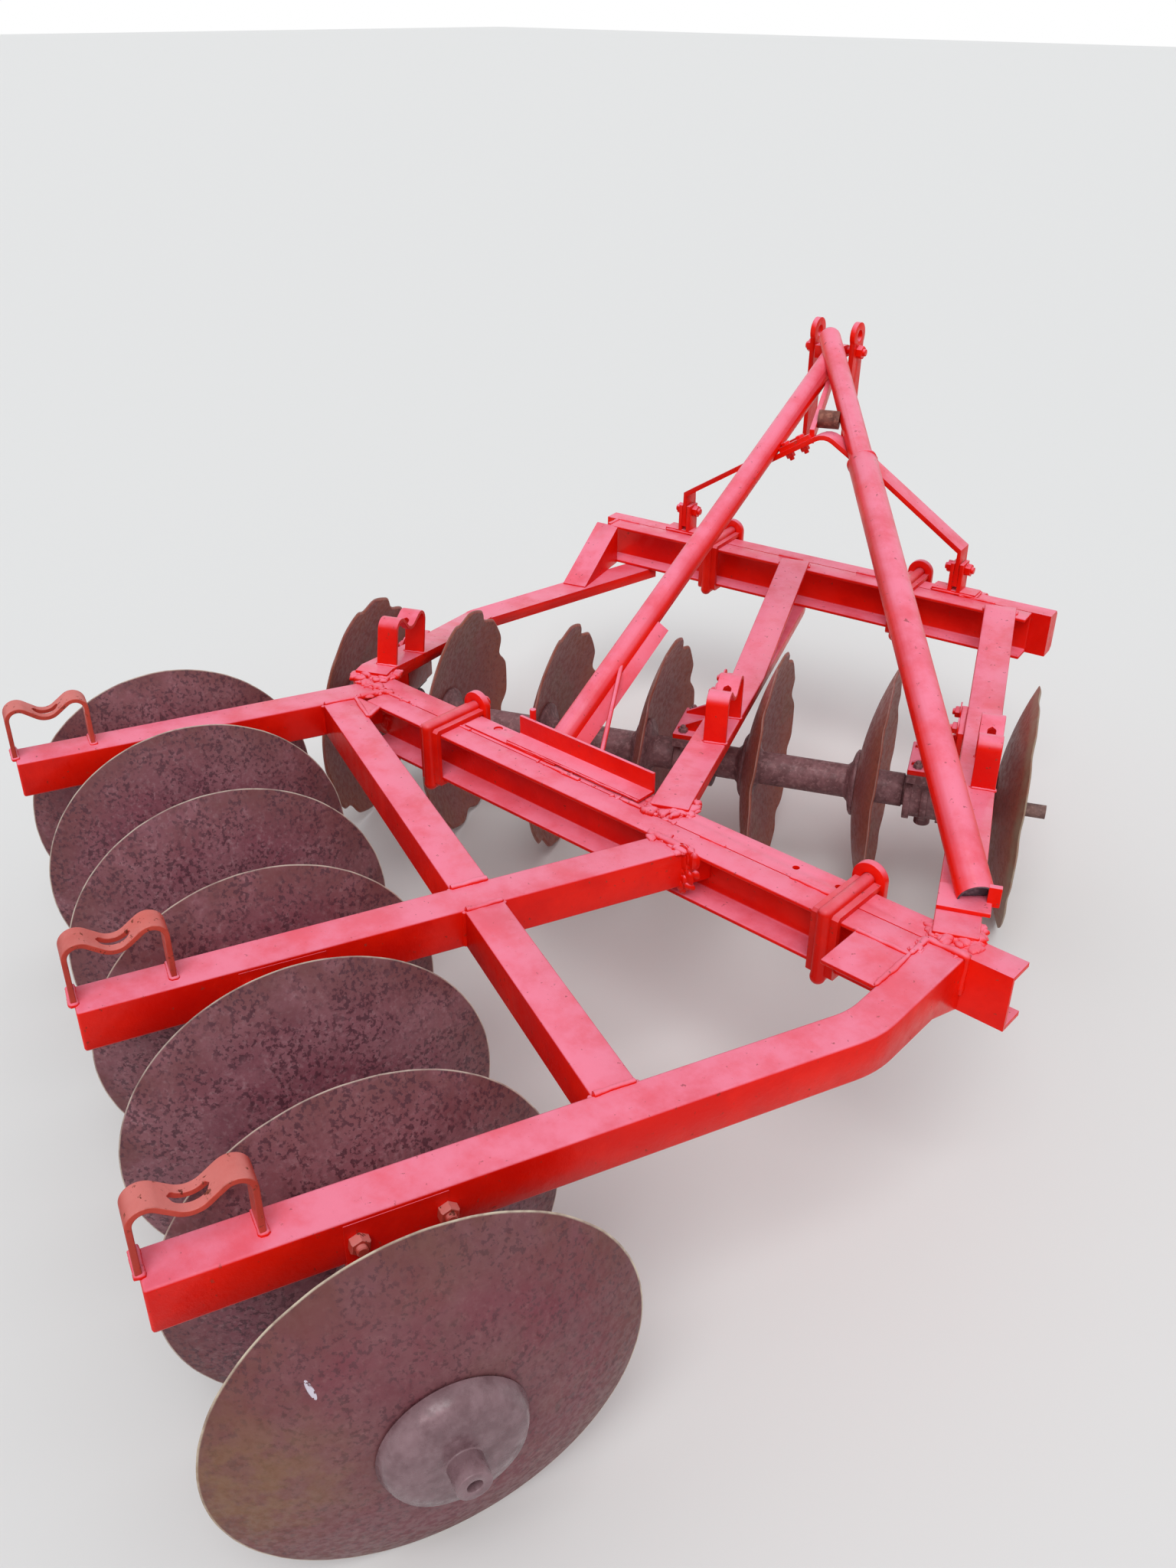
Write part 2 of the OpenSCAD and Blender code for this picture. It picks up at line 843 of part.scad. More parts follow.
// Mast strap in the hitch frame: foot, bend, upper bend and round head
module mast_strap(s) {
    x0 = strap_foot;
    x1 = top_link_gap / 2 + strap_t / 2;
    line = [[x0, strap_foot_z], [x0, strap_bend_z], [x1, strap_upper_z], [x1, top_z]];
    difference() {
        union() {
            translate([0, apex_y + strap_w / 2, 0])
                rotate([90, 0, 0])
                    linear_extrude(strap_w)
                        polygon([for (p = strip(line, strap_t)) [s * p.x, p.y]]);
            translate([s * (x1 - strap_t / 2), apex_y, top_z])
                rotate([0, s * 90, 0]) cylinder(h = strap_t, d = strap_w + 8);
        }
        translate([s * (x1 - strap_t), apex_y, top_z])
            rotate([0, s * 90, 0]) cylinder(h = 2 * strap_t, d = top_link_bore);
        translate([s * (x1 - strap_t), apex_y, bolt_z])
            rotate([0, s * 90, 0]) cylinder(h = 2 * strap_t, d = bolt_d + 2 * hole_gap);
        translate([s * (x0 - strap_t), apex_y, clevis_hole_z])
            rotate([0, s * 90, 0]) cylinder(h = 2 * strap_t, d = bolt_d + 2 * hole_gap);
    }
}

module mast_strap_left() {
    color("firebrick") at_hitch() mast_strap(-1);
}

module mast_strap_right() {
    color("firebrick") at_hitch() mast_strap(1);
}

// Clevises on the hitch box that hold the straps' feet
module strap_clevises() {
    gap = strap_t + 2 * hole_gap;
    base_w = channel_b - box_chamfer;
    color("firebrick")
        at_hitch()
            for (s = [-1, 1])
                translate([s * strap_foot, 0, 0])
                    difference() {
                        union() {
                            translate([-clevis_l / 2, 0, 0]) cube([clevis_l, base_w, clevis_t]);
                            for (k = [-1, 1])
                                translate([k * (gap + clevis_t) / 2 - clevis_t / 2, 0, 0])
                                    cube([clevis_t, base_w, clevis_h]);
                        }
                        translate([-clevis_l, apex_y, clevis_hole_z])
                            rotate([0, 90, 0]) cylinder(h = 2 * clevis_l, d = bolt_d + 2 * hole_gap);
                    }
}

// Cross bolts: one at the apex, one in each clevis
module cross_bolt(grip) {
    l = grip + 2 * nut_t;
    rotate([0, 90, 0]) {
        translate([0, 0, -l / 2 - 6]) cylinder(h = l + 12, d = bolt_d);
        translate([0, 0, grip / 2]) cylinder(h = nut_t, d = nut_d, $fn = 6);
        translate([0, 0, -grip / 2 - nut_t]) cylinder(h = nut_t, d = nut_d, $fn = 6);
    }
}

module mast_bolts() {
    color("firebrick")
        at_hitch() {
            translate([0, apex_y, bolt_z]) cross_bolt(top_link_gap + 2 * strap_t);
            for (s = [-1, 1])
                translate([s * strap_foot, apex_y, clevis_hole_z])
                    cross_bolt(strap_t + 2 * hole_gap + 2 * clevis_t);
        }
}

// Yoke between the stays, drawn in the upright plane through both stays
function along(p, q, f) = p + f * (q - p);
yoke_a = along(left_foot, left_head, yoke_left_share);
yoke_b = along(right_foot, right_head, yoke_right_share);
yoke_turn = atan2(yoke_b.y - yoke_a.y, yoke_b.x - yoke_a.x);

module in_yoke_plane() {
    machine() translate(yoke_a) rotate([0, 0, yoke_turn]) children();
}

module flat_bar(line, w, t) {
    translate([0, w / 2, 0]) rotate([90, 0, 0]) linear_extrude(w) polygon(strip(line, t));
}

function yoke_line() = concat([[0, -38.5]], arc([128, -3], 38, 122, 60, 4), [[194, 2]]);

module stays_cut() {
    right_stay_outer();
    machine() rod(left_foot, left_head, stay_d);
}

module yoke_arch() {
    color("firebrick")
        difference() {
            in_yoke_plane() flat_bar(yoke_line(), yoke_w, yoke_t);
            stays_cut();
        }
}

// Bar bolted on the arch's left flank, bent forward to the stays' joint
yoke_off = yoke_t / cos(yoke_slope);
function flank(x) = [x, -38.5 + x * tan(yoke_slope) + yoke_off];
yoke_bend = yoke_a + [flank(92).x * cos(yoke_turn), flank(92).x * sin(yoke_turn), flank(92).y];

module yoke_bar() {
    line = [flank(26), flank(92)];
    p = yoke_bend;
    color("firebrick")
        difference() {
            union() {
                in_yoke_plane() flat_bar(line, yoke_w * 0.8, yoke_t);
                machine()
                    aimed(p, yoke_joint)
                        translate([-yoke_w * 0.4, -yoke_t / 2, -yoke_t * 0.6])
                            cube([yoke_w * 0.8, yoke_t, norm(yoke_joint - p) + yoke_t]);
            }
            stays_cut();
            yoke_arch();
        }
}

module yoke_pin() {
    color("brown")
        difference() {
            machine()
                aimed(yoke_bend, yoke_joint)
                    translate([-pin_rise, -yoke_t / 2, pin_along])
                        rotate([90, 0, 0]) cylinder(h = pin_l, d = pin_d);
            stays_cut();
        }
}

// Thin rod from the left stay down to the angle iron
module stay_rod() {
    top = along(left_foot, left_head, rod_share);
    low = [rod_x, channel_b + rod_d / 2 + hole_gap, frame_top];
    color("firebrick")
        difference() {
            machine() {
                translate([low.x, low.y, frame_top + 6]) cylinder(h = 32, d = rod_d);
                translate([low.x, low.y, frame_top + 38]) sphere(d = rod_d);
                rod([low.x, low.y, frame_top + 38], top, rod_d);
            }
            machine() rod(left_foot, left_head, stay_d);
        }
}

// Angle iron along the mid beam's front edge, with a short upright pin
module angle_iron() {
    t = angle_t;
    b = channel_b;
    color("firebrick")
        at_mid() {
            along_x(angle_left, angle_right)
                polygon([
                    [b - angle_b, beam_plate_t], [b - angle_b, beam_plate_t + t],
                    [b - t, beam_plate_t + t], [b - t, beam_plate_t + angle_h],
                    [b, beam_plate_t + angle_h], [b, beam_plate_t]]);
            translate([angle_left + 24, b + 5, 10]) cylinder(h = 54, d = 12);
        }
}

module beam_plate() {
    color("firebrick")
        at_mid()
            difference() {
                translate([beam_plate_left, channel_web, 0])
                    cube([angle_right - angle_left - 90, channel_b - channel_web, beam_plate_t]);
                translate([beam_plate_left + 60, channel_b * 0.72, -1])
                    cylinder(h = 2 * beam_plate_t + 2, d = 18);
            }
}

// Lower link pins: a thick plate in front of the box, and the pin outside it
module lower_pin(s) {
    shoulder = lower_pin_spread / 2;
    z = lower_pin_z - frame_top;
    b = channel_b;
    c = box_chamfer;
    along_x(min(s * shoulder, s * (shoulder - ear_t)), max(s * shoulder, s * (shoulder - ear_t))) {
        polygon([[b, -c], [b, c - channel_h], [lower_pin_y, z - ear_r], [lower_pin_y, z + ear_r]]);
        translate([lower_pin_y, z]) circle(r = ear_r);
    }
    translate([s * shoulder, lower_pin_y, z])
        rotate([0, s * 90, 0]) cylinder(h = lower_pin_l, d = lower_pin_d);
}

module lower_pin_left() {
    color("firebrick") at_hitch() lower_pin(-1);
}

module lower_pin_right() {
    color("firebrick") at_hitch() lower_pin(1);
}

// Hangers and bearings

// Angle hanger: upright plate from x to x + t, foot out to x_foot, and two ribs
module hanger(x, x_foot, top) {
    z = pad_height;
    t = hanger_t;
    out = x_foot > x ? 1 : -1;
    near = out > 0 ? x : x_foot;
    translate([x, -pad_l / 2, z]) cube([t, pad_l, top - z]);
    translate([near, -pad_l / 2, z]) cube([abs(x_foot - x) + (out > 0 ? 0 : t), pad_l, t]);
    for (y = [-pad_l * 0.3, pad_l * 0.3])
        translate([0, y - 4, 0])
            rotate([90, 0, 0])
                translate([0, 0, -8])
                    linear_extrude(8)
                        polygon([
                            [x + t / 2, z + t / 2], [x_foot - out * 6, z + t / 2],
                            [x_foot - out * 6, z + t + 6], [x + t / 2, min(top, z + 2.6 * t + 30)]]);
}

module rear_hangers() {
    color("firebrick")
        at_rear()
            for (i = arm_gaps)
                translate([rear_bearing_at(i), 0, 0])
                    hanger(half_w - rear_arm_shift, housing_l / 2, frame_top - rear_r - 6);
}

module front_hangers() {
    face = front_arm_shift - front_arm_w / 2;
    color("firebrick")
        at_front()
            for (i = arm_gaps)
                translate([front_bearing_at(i), 0, 0])
                    hanger(face - hanger_t, -housing_l / 2, front_arm_top - 9);
}

// Bearing housing: ribbed barrel, pad on top and a boss below
module housing() {
    difference() {
        union() {
            translate([-housing_l / 2, 0, 0])
                rotate([0, 90, 0]) cylinder(h = housing_l, d = housing_d - 12);
            for (x = [-housing_l / 2, -rib_t / 2, housing_l / 2 - rib_t])
                translate([x, 0, 0])
                    rotate([0, 90, 0]) cylinder(h = rib_t, d = housing_d);
            translate([-housing_l / 2, -pad_l / 2, pad_height - pad_t])
                cube([housing_l, pad_l, pad_t]);
            translate([-housing_l / 2 + rib_t, -housing_d * 0.4, 0])
                cube([housing_l - 2 * rib_t, housing_d * 0.8, pad_height - pad_t / 2]);
            translate([0, 0, -housing_d / 2 - 12]) cylinder(h = housing_d / 4 + 12, d = 34);
        }
        translate([-housing_l, 0, 0])
            rotate([0, 90, 0]) cylinder(h = 2 * housing_l, d = sleeve_d + 2 * bearing_gap);
    }
}

module rear_bearings() {
    color("saddlebrown")
        at_rear()
            for (i = arm_gaps) translate([rear_bearing_at(i), 0, 0]) housing();
}

module front_bearings() {
    color("saddlebrown")
        at_front()
            for (i = arm_gaps) translate([front_bearing_at(i), 0, 0]) housing();
}

// Gang pieces, all turned about the X axis

bore_r = axle_side * sqrt(2) / 2 + hole_gap;

// Spool between two discs, with a bearing sleeve in its middle if it carries one
module spool(x0, x1, bearing) {
    f = flange_d / 2;
    r = spool_d / 2;
    t = flange_t;
    m = (x0 + x1) / 2;
    n = m - housing_l / 2 - run_gap;
    k = m + housing_l / 2 + run_gap;
    s = sleeve_d / 2;
    middle_part = bearing ? [[r, n], [s, n], [s, k], [r, k]] : [];
    turned_on_x(concat(
        [[bore_r, x0], [f, x0], [f, x0 + t * 0.4], [f - 8, x0 + t * 0.7], [r + 8, x0 + t],
            [r, x0 + t + 8]],
        middle_part,
        [[r, x1 - t - 8], [r + 8, x1 - t], [f - 8, x1 - t * 0.7], [f, x1 - t * 0.4],
            [f, x1], [bore_r, x1]]));
}

function has_bearing(i) = len(search(i, arm_gaps)) > 0;

module rear_spools() {
    color("rosybrown")
        at_rear()
            for (i = [0:disc_count - 2])
                spool(rear_at(i) + disc_t / 2, rear_at(i + 1) - disc_t / 2, has_bearing(i));
}

module front_spools() {
    color("rosybrown")
        at_front()
            for (i = [0:disc_count - 2])
                spool(front_at(i) + disc_t / 2, front_at(i + 1) - disc_t / 2, has_bearing(i));
}

// Axle: square between the outer washers, round and threaded at its ends
module axle(x0, x1, tip0, tip1) {
    translate([x0, -axle_side / 2, -axle_side / 2]) cube([x1 - x0, axle_side, axle_side]);
    translate([tip0, 0, 0]) rotate([0, 90, 0]) cylinder(h = tip1 - tip0, d = axle_thread_d);
}

rear_left_face = rear_at(0) - disc_t / 2;
rear_right_face = rear_at(disc_count - 1) + disc_t / 2;
front_left_face = front_at(0) - disc_t / 2;
front_right_face = front_at(disc_count - 1) + disc_t / 2;

module rear_axle() {
    color("rosybrown")
        at_rear()
            axle(rear_left_face - washer_t, rear_right_face + dome_cavity - 2,
                rear_left_face - washer_t - end_nut_t - 22, rear_right_face + dome_cavity - 2);
}

module front_axle() {
    color("rosybrown")
        at_front()
            axle(front_left_face - washer_t, front_right_face + washer_t,
                front_left_face - washer_t - end_nut_t - 22,
                front_right_face + washer_t + end_nut_t + axle_thread_l);
}

// Washer and nut; side is 1 on the right end and -1 on the left
module washer_and_nut(face, s) {
    translate([face, 0, 0])
        rotate([0, s * 90, 0])
            difference() {
                union() {
                    cylinder(h = washer_t, d = washer_d);
                    cylinder(h = washer_t + end_nut_t, d = end_nut_d, $fn = 6);
                }
                translate([0, 0, -1]) cylinder(h = washer_t + 1, r = bore_r);
                cylinder(h = washer_t + end_nut_t + 1, d = axle_thread_d + 2 * hole_gap);
            }
}

module rear_end_washers() {
    d = end_washer_d / 2;
    c = dome_cavity;
    color("rosybrown")
        at_rear() {
            washer_and_nut(rear_left_face, -1);
            translate([rear_right_face, 0, 0])
                turned_on_x([
                    [bore_r, 0], [d, 0], [d, 8], [d * 0.93, 20], [d * 0.72, 38], [d * 0.5, 48],
                    [30, 54], [29, 86], [12.5, 86], [12.5, c + 10], [0, c + 10], [0, c],
                    [bore_r, c]]);
        }
}

module front_end_washers() {
    color("rosybrown")
        at_front() {
            washer_and_nut(front_left_face, -1);
            washer_and_nut(front_right_face, 1);
        }
}

// Disc: flat back at x = 0 in its middle, hollow side towards -x, bevelled rim
disc_steps = 9;
function ring(r, k) = disc_flat_d / 2 + (r - disc_flat_d / 2) * k / disc_steps;
function disc_outline(r) = concat(
    [[0, 0]],
    [for (k = [0:disc_steps]) [ring(r, k), -dish(ring(r, k))]],
    [for (k = [disc_steps:-1:0]) let (q = ring(r - (k == disc_steps ? rim_bevel : 0), k))
        [q, -dish(q) - disc_t]],
    [[0, -disc_t]]);

module disc(r) {
    side = axle_side + 2 * hole_gap;
    difference() {
        rotate([0, 90, 0]) rotate_extrude($fn = 96) polygon(disc_outline(r));
        translate([-2 * disc_t, -side / 2, -side / 2]) cube([4 * disc_t, side, side]);
    }
}

module notched_disc(phase) {
    rotate([phase, 0, 0])
        difference() {
            disc(front_r);
            for (k = [0:notch_count - 1])
                rotate([360 * (k + 0.5) / notch_count, 0, 0])
                    translate([-front_r / 2, 0, front_r - notch_depth + notch_radius])
                        rotate([0, 90, 0]) cylinder(h = front_r, r = notch_radius);
        }
}

module rear_disc(i) {
    color("rosybrown") at_rear() translate([rear_at(i) + disc_t / 2, 0, 0]) disc(rear_r);
}

module front_disc(i) {
    color("rosybrown")
        at_front()
            translate([front_at(i) - disc_t / 2, 0, 0])
                mirror([1, 0, 0]) notched_disc(0);
}

module rear_disc_1() {
    rear_disc(0);
}

module rear_disc_2() {
    rear_disc(1);
}

module rear_disc_3() {
    rear_disc(2);
}

module rear_disc_4() {
    rear_disc(3);
}

module rear_disc_5() {
    rear_disc(4);
}

module rear_disc_6() {
    rear_disc(5);
}

module rear_disc_7() {
    rear_disc(6);
}

module front_disc_1() {
    front_disc(0);
}

module front_disc_2() {
    front_disc(1);
}

module front_disc_3() {
    front_disc(2);
}

module front_disc_4() {
    front_disc(3);
}

module front_disc_5() {
    front_disc(4);
}

module front_disc_6() {
    front_disc(5);
}

module front_disc_7() {
    front_disc(6);
}

mid_beam_front();
mid_beam_rear();
front_beam_rear();
hitch_box();
rear_arm_left();
rear_arm_middle();
rear_arm_right();
cross_brace();
corner_plate();
overhang_plate();
front_arm_left();
front_arm_middle();
front_arm_right();
saddles_rear();
saddles_front();
clamp_mid_left();
clamp_mid_right();
clamp_front_left();
clamp_front_right();
clamp_plates();
stay_left();
stay_right();
stay_foot();
mast_strap_left();
mast_strap_right();
strap_clevises();
mast_bolts();
yoke_arch();
yoke_bar();
yoke_pin();
stay_rod();
angle_iron();
beam_plate();
lower_pin_left();
lower_pin_right();
rear_hangers();
front_hangers();
rear_bearings();
front_bearings();
rear_axle();
rear_spools();
rear_end_washers();
front_axle();
front_spools();
front_end_washers();
rear_disc_1();
rear_disc_2();
rear_disc_3();
rear_disc_4();
rear_disc_5();
rear_disc_6();
rear_disc_7();
front_disc_1();
front_disc_2();
front_disc_3();
front_disc_4();
front_disc_5();
front_disc_6();
front_disc_7();
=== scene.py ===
# %% [markdown]
# # Mounted offset disc harrow
#
# The machine is a welded frame of steel channels with thick red paint, and
# two gangs of rusty discs under it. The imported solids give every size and
# place, so the script starts by loading them as a fixed frame.

import json
import math
from types import SimpleNamespace

import bmesh
import bpy
import numpy as np
from mathutils import Matrix, Vector


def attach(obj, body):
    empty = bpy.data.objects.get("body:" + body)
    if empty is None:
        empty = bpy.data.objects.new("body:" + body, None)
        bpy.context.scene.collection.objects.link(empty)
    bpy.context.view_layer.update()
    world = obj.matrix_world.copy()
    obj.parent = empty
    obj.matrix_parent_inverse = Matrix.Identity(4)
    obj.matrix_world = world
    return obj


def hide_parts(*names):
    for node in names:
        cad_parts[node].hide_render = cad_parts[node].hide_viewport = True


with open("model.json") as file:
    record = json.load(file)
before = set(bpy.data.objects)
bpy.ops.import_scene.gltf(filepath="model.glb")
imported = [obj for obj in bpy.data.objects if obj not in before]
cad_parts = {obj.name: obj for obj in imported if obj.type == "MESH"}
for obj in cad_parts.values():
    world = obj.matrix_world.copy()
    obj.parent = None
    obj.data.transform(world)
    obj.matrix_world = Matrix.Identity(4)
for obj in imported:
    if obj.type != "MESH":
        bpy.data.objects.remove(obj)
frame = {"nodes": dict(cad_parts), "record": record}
scene = bpy.context.scene
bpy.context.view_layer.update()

# %% [markdown]
# Everything on the machine is measured from the middle of its mid beam, in
# millimetres, because that is how the frame is laid out. The row frame has
# its origin under the middle of the whole outline, so one function turns
# beam millimetres into row metres. Each gang and the front beam have a frame
# of their own, turned about the vertical.

# %% Places: beam frame, gang frames and front beam frame
MIDDLE = np.array([-192.046, 111.579, 0.0])
TOP = 500.0
REAR_R, FRONT_R = 280.0, 257.5
REAR_ANGLE, FRONT_ANGLE, HITCH_ANGLE = np.radians([22.6, 24.0, 8.3])


def turned_frame(origin, a):
    """A turned frame: a point is the origin plus its x along a level line at
    the angle a from the mid beam, its y square to it, and its z upwards."""
    along = np.array([math.cos(a), math.sin(a), 0.0])
    across = np.array([-math.sin(a), math.cos(a), 0.0])
    up = np.array([0.0, 0.0, 1.0])
    return np.array(origin, float), np.stack([along, across, up])


BEAM = turned_frame([0, 0, 0], 0)
REAR = turned_frame([-188, -639, REAR_R], -REAR_ANGLE)
FRONT = turned_frame([-385, 513, FRONT_R], FRONT_ANGLE)
HITCH = turned_frame([-416, 1189, TOP], HITCH_ANGLE)


def in_beam(points, place=BEAM):
    """Points of a turned frame as beam millimetres: origin plus each
    coordinate times its axis."""
    origin, axes = place
    return origin + np.asarray(points, float) @ axes


def metres(points, place=BEAM):
    """Points of a turned frame as row metres."""
    return (in_beam(points, place) - MIDDLE) / 1000


def unit(vectors):
    """Vectors divided by their lengths."""
    return vectors / np.linalg.norm(vectors, axis=-1, keepdims=True)


# %% Where the discs and arms stand along the gangs
DISC_T = 6.0
REAR_PITCH, FRONT_PITCH, LAST_EXTRA = 256.0, 238.5, 45.0
REAR_SHIFT, FRONT_SHIFT = 62.0, 92.0
REAR_DISCS = [(i - 3) * REAR_PITCH for i in range(7)]
FRONT_DISCS = [(i - 3) * FRONT_PITCH for i in range(6)] + [3 * FRONT_PITCH + LAST_EXTRA]
BEARING_GAPS = [0, 3, 5]
REAR_ARMS = [REAR_DISCS[i] + REAR_PITCH / 2 - REAR_SHIFT for i in BEARING_GAPS]
FRONT_ARMS = [(FRONT_DISCS[i] + FRONT_DISCS[i + 1]) / 2 + FRONT_SHIFT for i in BEARING_GAPS]
print("rear arms at", REAR_ARMS, "front arms at", FRONT_ARMS)

# %% [markdown]
# The mid beam is two channels back to back, on both sides of y = 0. The front
# arms slope up to it: over its gang each lies lower than the frame's top by
# its drop, and where it meets the beam it is higher than the top by its lap.
# These lengths are worked out once, so that the welds, bolts and saddles that
# are made later land on the bars.

# %% Bars of the frame
CHANNEL = 51.0
REAR_HALF, FRONT_HALF = 32.5, 35.0
ARM_DROP, ARM_LAP, ARM_LAP_L = 48.0, 12.0, 30.0
FRONT_ARM_TOP = TOP - FRONT_R - ARM_DROP
FRONT_MEETS = [(CHANNEL - in_beam([x, 0, 0], FRONT)[1]) / math.cos(FRONT_ANGLE)
               for x in FRONT_ARMS]
FRONT_FALLS = [(ARM_DROP + ARM_LAP) / -meet for meet in FRONT_MEETS]
FRONT_ENDS = [meet - ARM_LAP_L for meet in FRONT_MEETS]
LEFT_FOOT, LEFT_HEAD = np.array([[-240, 80, 505], [-385, 1150, 1017]], float)
RIGHT_FOOT, RIGHT_HEAD = np.array([[592, 122, 518], [-405, 1160, 1048]], float)
LEFT_AXIS, RIGHT_AXIS = unit(LEFT_HEAD - LEFT_FOOT), unit(RIGHT_HEAD - RIGHT_FOOT)
STAY_INNER, STAY_BORE = 0.022, 26.0
print("front arms fall by", [round(fall, 3) for fall in FRONT_FALLS])

# %% [markdown]
# ## Camera
#
# The camera stands behind the machine on its right, at head height, and
# looks down along it. Its place and axes were worked out from the discs'
# outlines and the beams' edges. It could be aimed at a point instead, but
# three axes also hold the slight roll of a camera in the hand.

# %% Camera
def add_object(name, data):
    """A new object in the scene, unturned and at the origin."""
    item = bpy.data.objects.new(name, data)
    scene.collection.objects.link(item)
    return item


FOCAL_PIXELS, PICTURE_PIXELS, SENSOR_MM = 1762.8, 2048, 36.0
camera = add_object("viewpoint", bpy.data.cameras.new("viewpoint"))
scene.camera = camera
right = Vector((0.74744, 0.66428, 0.0075)).normalized()
look = Vector((-0.5701, 0.64718, -0.50611)).normalized()
axes = Matrix((right, right.cross(look), -look)).transposed().to_4x4()
camera.matrix_world = Matrix.Translation(Vector(metres([1271.9, -1559.5, 1720.2]))) @ axes
camera.data.sensor_width = SENSOR_MM
camera.data.lens = SENSOR_MM * FOCAL_PIXELS / PICTURE_PIXELS
camera.data.clip_end = 300
print("lens", round(camera.data.lens, 2), "mm, eye at", [round(v, 2) for v in camera.location])

# %% [markdown]
# ## Shader helpers
#
# Paint, rust and bare metal are all broken up by noise. Two effects are used
# by several materials, so each is a node group: patches, which gives a mask
# with soft or hard edges, and grain, which gives a height for bump. Images
# could be painted instead, but noise needs no unwrapped surface and stays
# sharp close up.

# %% Node helpers
def feed(tree, entry, value):
    """Links a socket to the entry, or sets the entry's own value. A colour of
    three numbers is opaque."""
    if isinstance(value, bpy.types.NodeSocket):
        tree.links.new(value, entry)
    elif entry.type == "RGBA":
        entry.default_value = (*value, 1.0)
    else:
        entry.default_value = value


def put(tree, kind, entries=None, **settings):
    """Adds a node. A setting named like a socket feeds it, others set the
    node; entries feeds sockets by their number."""
    node = tree.nodes.new(kind)
    for key, value in settings.items():
        socket = node.inputs.get(key.replace("_", " "))
        if socket is not None:
            feed(tree, socket, value)
        else:
            setattr(node, key, value)
    for number, value in (entries or {}).items():
        feed(tree, node.inputs[number], value)
    return node


def spread(tree, value, low, high, start=0.0, end=1.0, kind="LINEAR"):
    """start where the value is low, end where it is high, a ramp between."""
    return put(tree, "ShaderNodeMapRange", interpolation_type=kind, Value=value, From_Min=low,
               From_Max=high, To_Min=start, To_Max=end).outputs["Result"]


def group_with(name, entries, outcome):
    """An empty node group with a vector entry, float entries with their
    defaults and one float outcome; its inner sockets are returned too."""
    tree = bpy.data.node_groups.new(name, "ShaderNodeTree")
    tree.interface.new_socket("Vector", in_out="INPUT", socket_type="NodeSocketVector")
    for label, value in entries.items():
        socket = tree.interface.new_socket(label, in_out="INPUT", socket_type="NodeSocketFloat")
        socket.default_value = value
    tree.interface.new_socket(outcome, in_out="OUTPUT", socket_type="NodeSocketFloat")
    given, result = tree.nodes.new("NodeGroupInput"), tree.nodes.new("NodeGroupOutput")
    return tree, given.outputs, result.inputs[outcome]


# %% Group: patches
patches, given, result = group_with(
    "patches", {"Scale": 20.0, "Detail": 4.0, "Low": 0.45, "High": 0.6}, "Mask")
noise = put(patches, "ShaderNodeTexNoise", Vector=given["Vector"], Scale=given["Scale"],
            Detail=given["Detail"], Roughness=0.62)
feed(patches, result, spread(patches, noise.outputs["Fac"], given["Low"], given["High"],
                             kind="SMOOTHSTEP"))

# %% Group: grain
grain, given, result = group_with(
    "grain", {"Coarse": 40.0, "Fine": 300.0, "Fine Share": 0.3}, "Height")
coarse = put(grain, "ShaderNodeTexNoise", Vector=given["Vector"], Scale=given["Coarse"],
             Detail=3.0)
fine = put(grain, "ShaderNodeTexNoise", Vector=given["Vector"], Scale=given["Fine"],
           Detail=4.0, Roughness=0.7)
blend = put(grain, "ShaderNodeMix", {0: given["Fine Share"], 2: coarse.outputs["Fac"],
                                     3: fine.outputs["Fac"]}, data_type="FLOAT")
feed(grain, result, blend.outputs[0])
print("groups:", [g.name for g in bpy.data.node_groups])

# %% [markdown]
# A material is built in layers, from the skin outwards. It is held in hand
# with its node tree, its object coordinates and its body colour so far, and
# each layer covers the body with one more colour where a mask says so.

# %% Material in hand
def start_material(name, body, **sockets):
    """A material in hand: plain values go on its Principled node's sockets."""
    material = bpy.data.materials.new(name)
    material.use_nodes = True
    tree = material.node_tree
    where = tree.nodes.new("ShaderNodeTexCoord").outputs["Object"]
    m = SimpleNamespace(material=material, tree=tree, where=where, body=body)
    return finish_material(m, **sockets)


def finish_material(m, **sockets):
    """Feeds the body colour so far and these sockets to the Principled node."""
    skin = m.tree.nodes["Principled BSDF"]
    for key, value in {"Base_Color": m.body, **sockets}.items():
        feed(m.tree, skin.inputs[key.replace("_", " ")], value)
    return m


def colour_mix(m, factor, first, second):
    """first where the factor is 0, second where it is 1; each a colour or a
    socket."""
    return put(m.tree, "ShaderNodeMix", {0: factor, 6: first, 7: second},
               data_type="RGBA").outputs[2]


def value_mix(m, factor, first, second):
    """The same for plain numbers."""
    return put(m.tree, "ShaderNodeMix", {0: factor, 2: first, 3: second},
               data_type="FLOAT").outputs[0]


def maths(m, operation, first, second):
    """A sum, product or maximum, kept between 0 and 1."""
    return put(m.tree, "ShaderNodeMath", {0: first, 1: second}, operation=operation,
               use_clamp=True).outputs[0]


def times(m, first, second):
    """The product: of two masks, what lies in both."""
    return maths(m, "MULTIPLY", first, second)


def cover(m, factor, colour):
    """Lays one more colour over the body."""
    m.body = colour_mix(m, factor, m.body, colour)


# %% Masks and bumps
def mask(m, scale, low, high, detail=4.0):
    """Patches of that scale, as a 0 to 1 mask."""
    return put(m.tree, "ShaderNodeGroup", node_tree=patches, Vector=m.where, Scale=scale,
               Low=low, High=high, Detail=detail).outputs["Mask"]


def relief(m, coarse, fine, share, strength, millimetres, **under):
    """A bump of that grain; a Normal given with it is a bump that it lies on."""
    height = put(m.tree, "ShaderNodeGroup", node_tree=grain, Vector=m.where, Coarse=coarse,
                 Fine=fine, Fine_Share=share).outputs["Height"]
    return put(m.tree, "ShaderNodeBump", Strength=strength, Distance=millimetres / 1000,
               Height=height, **under).outputs["Normal"]


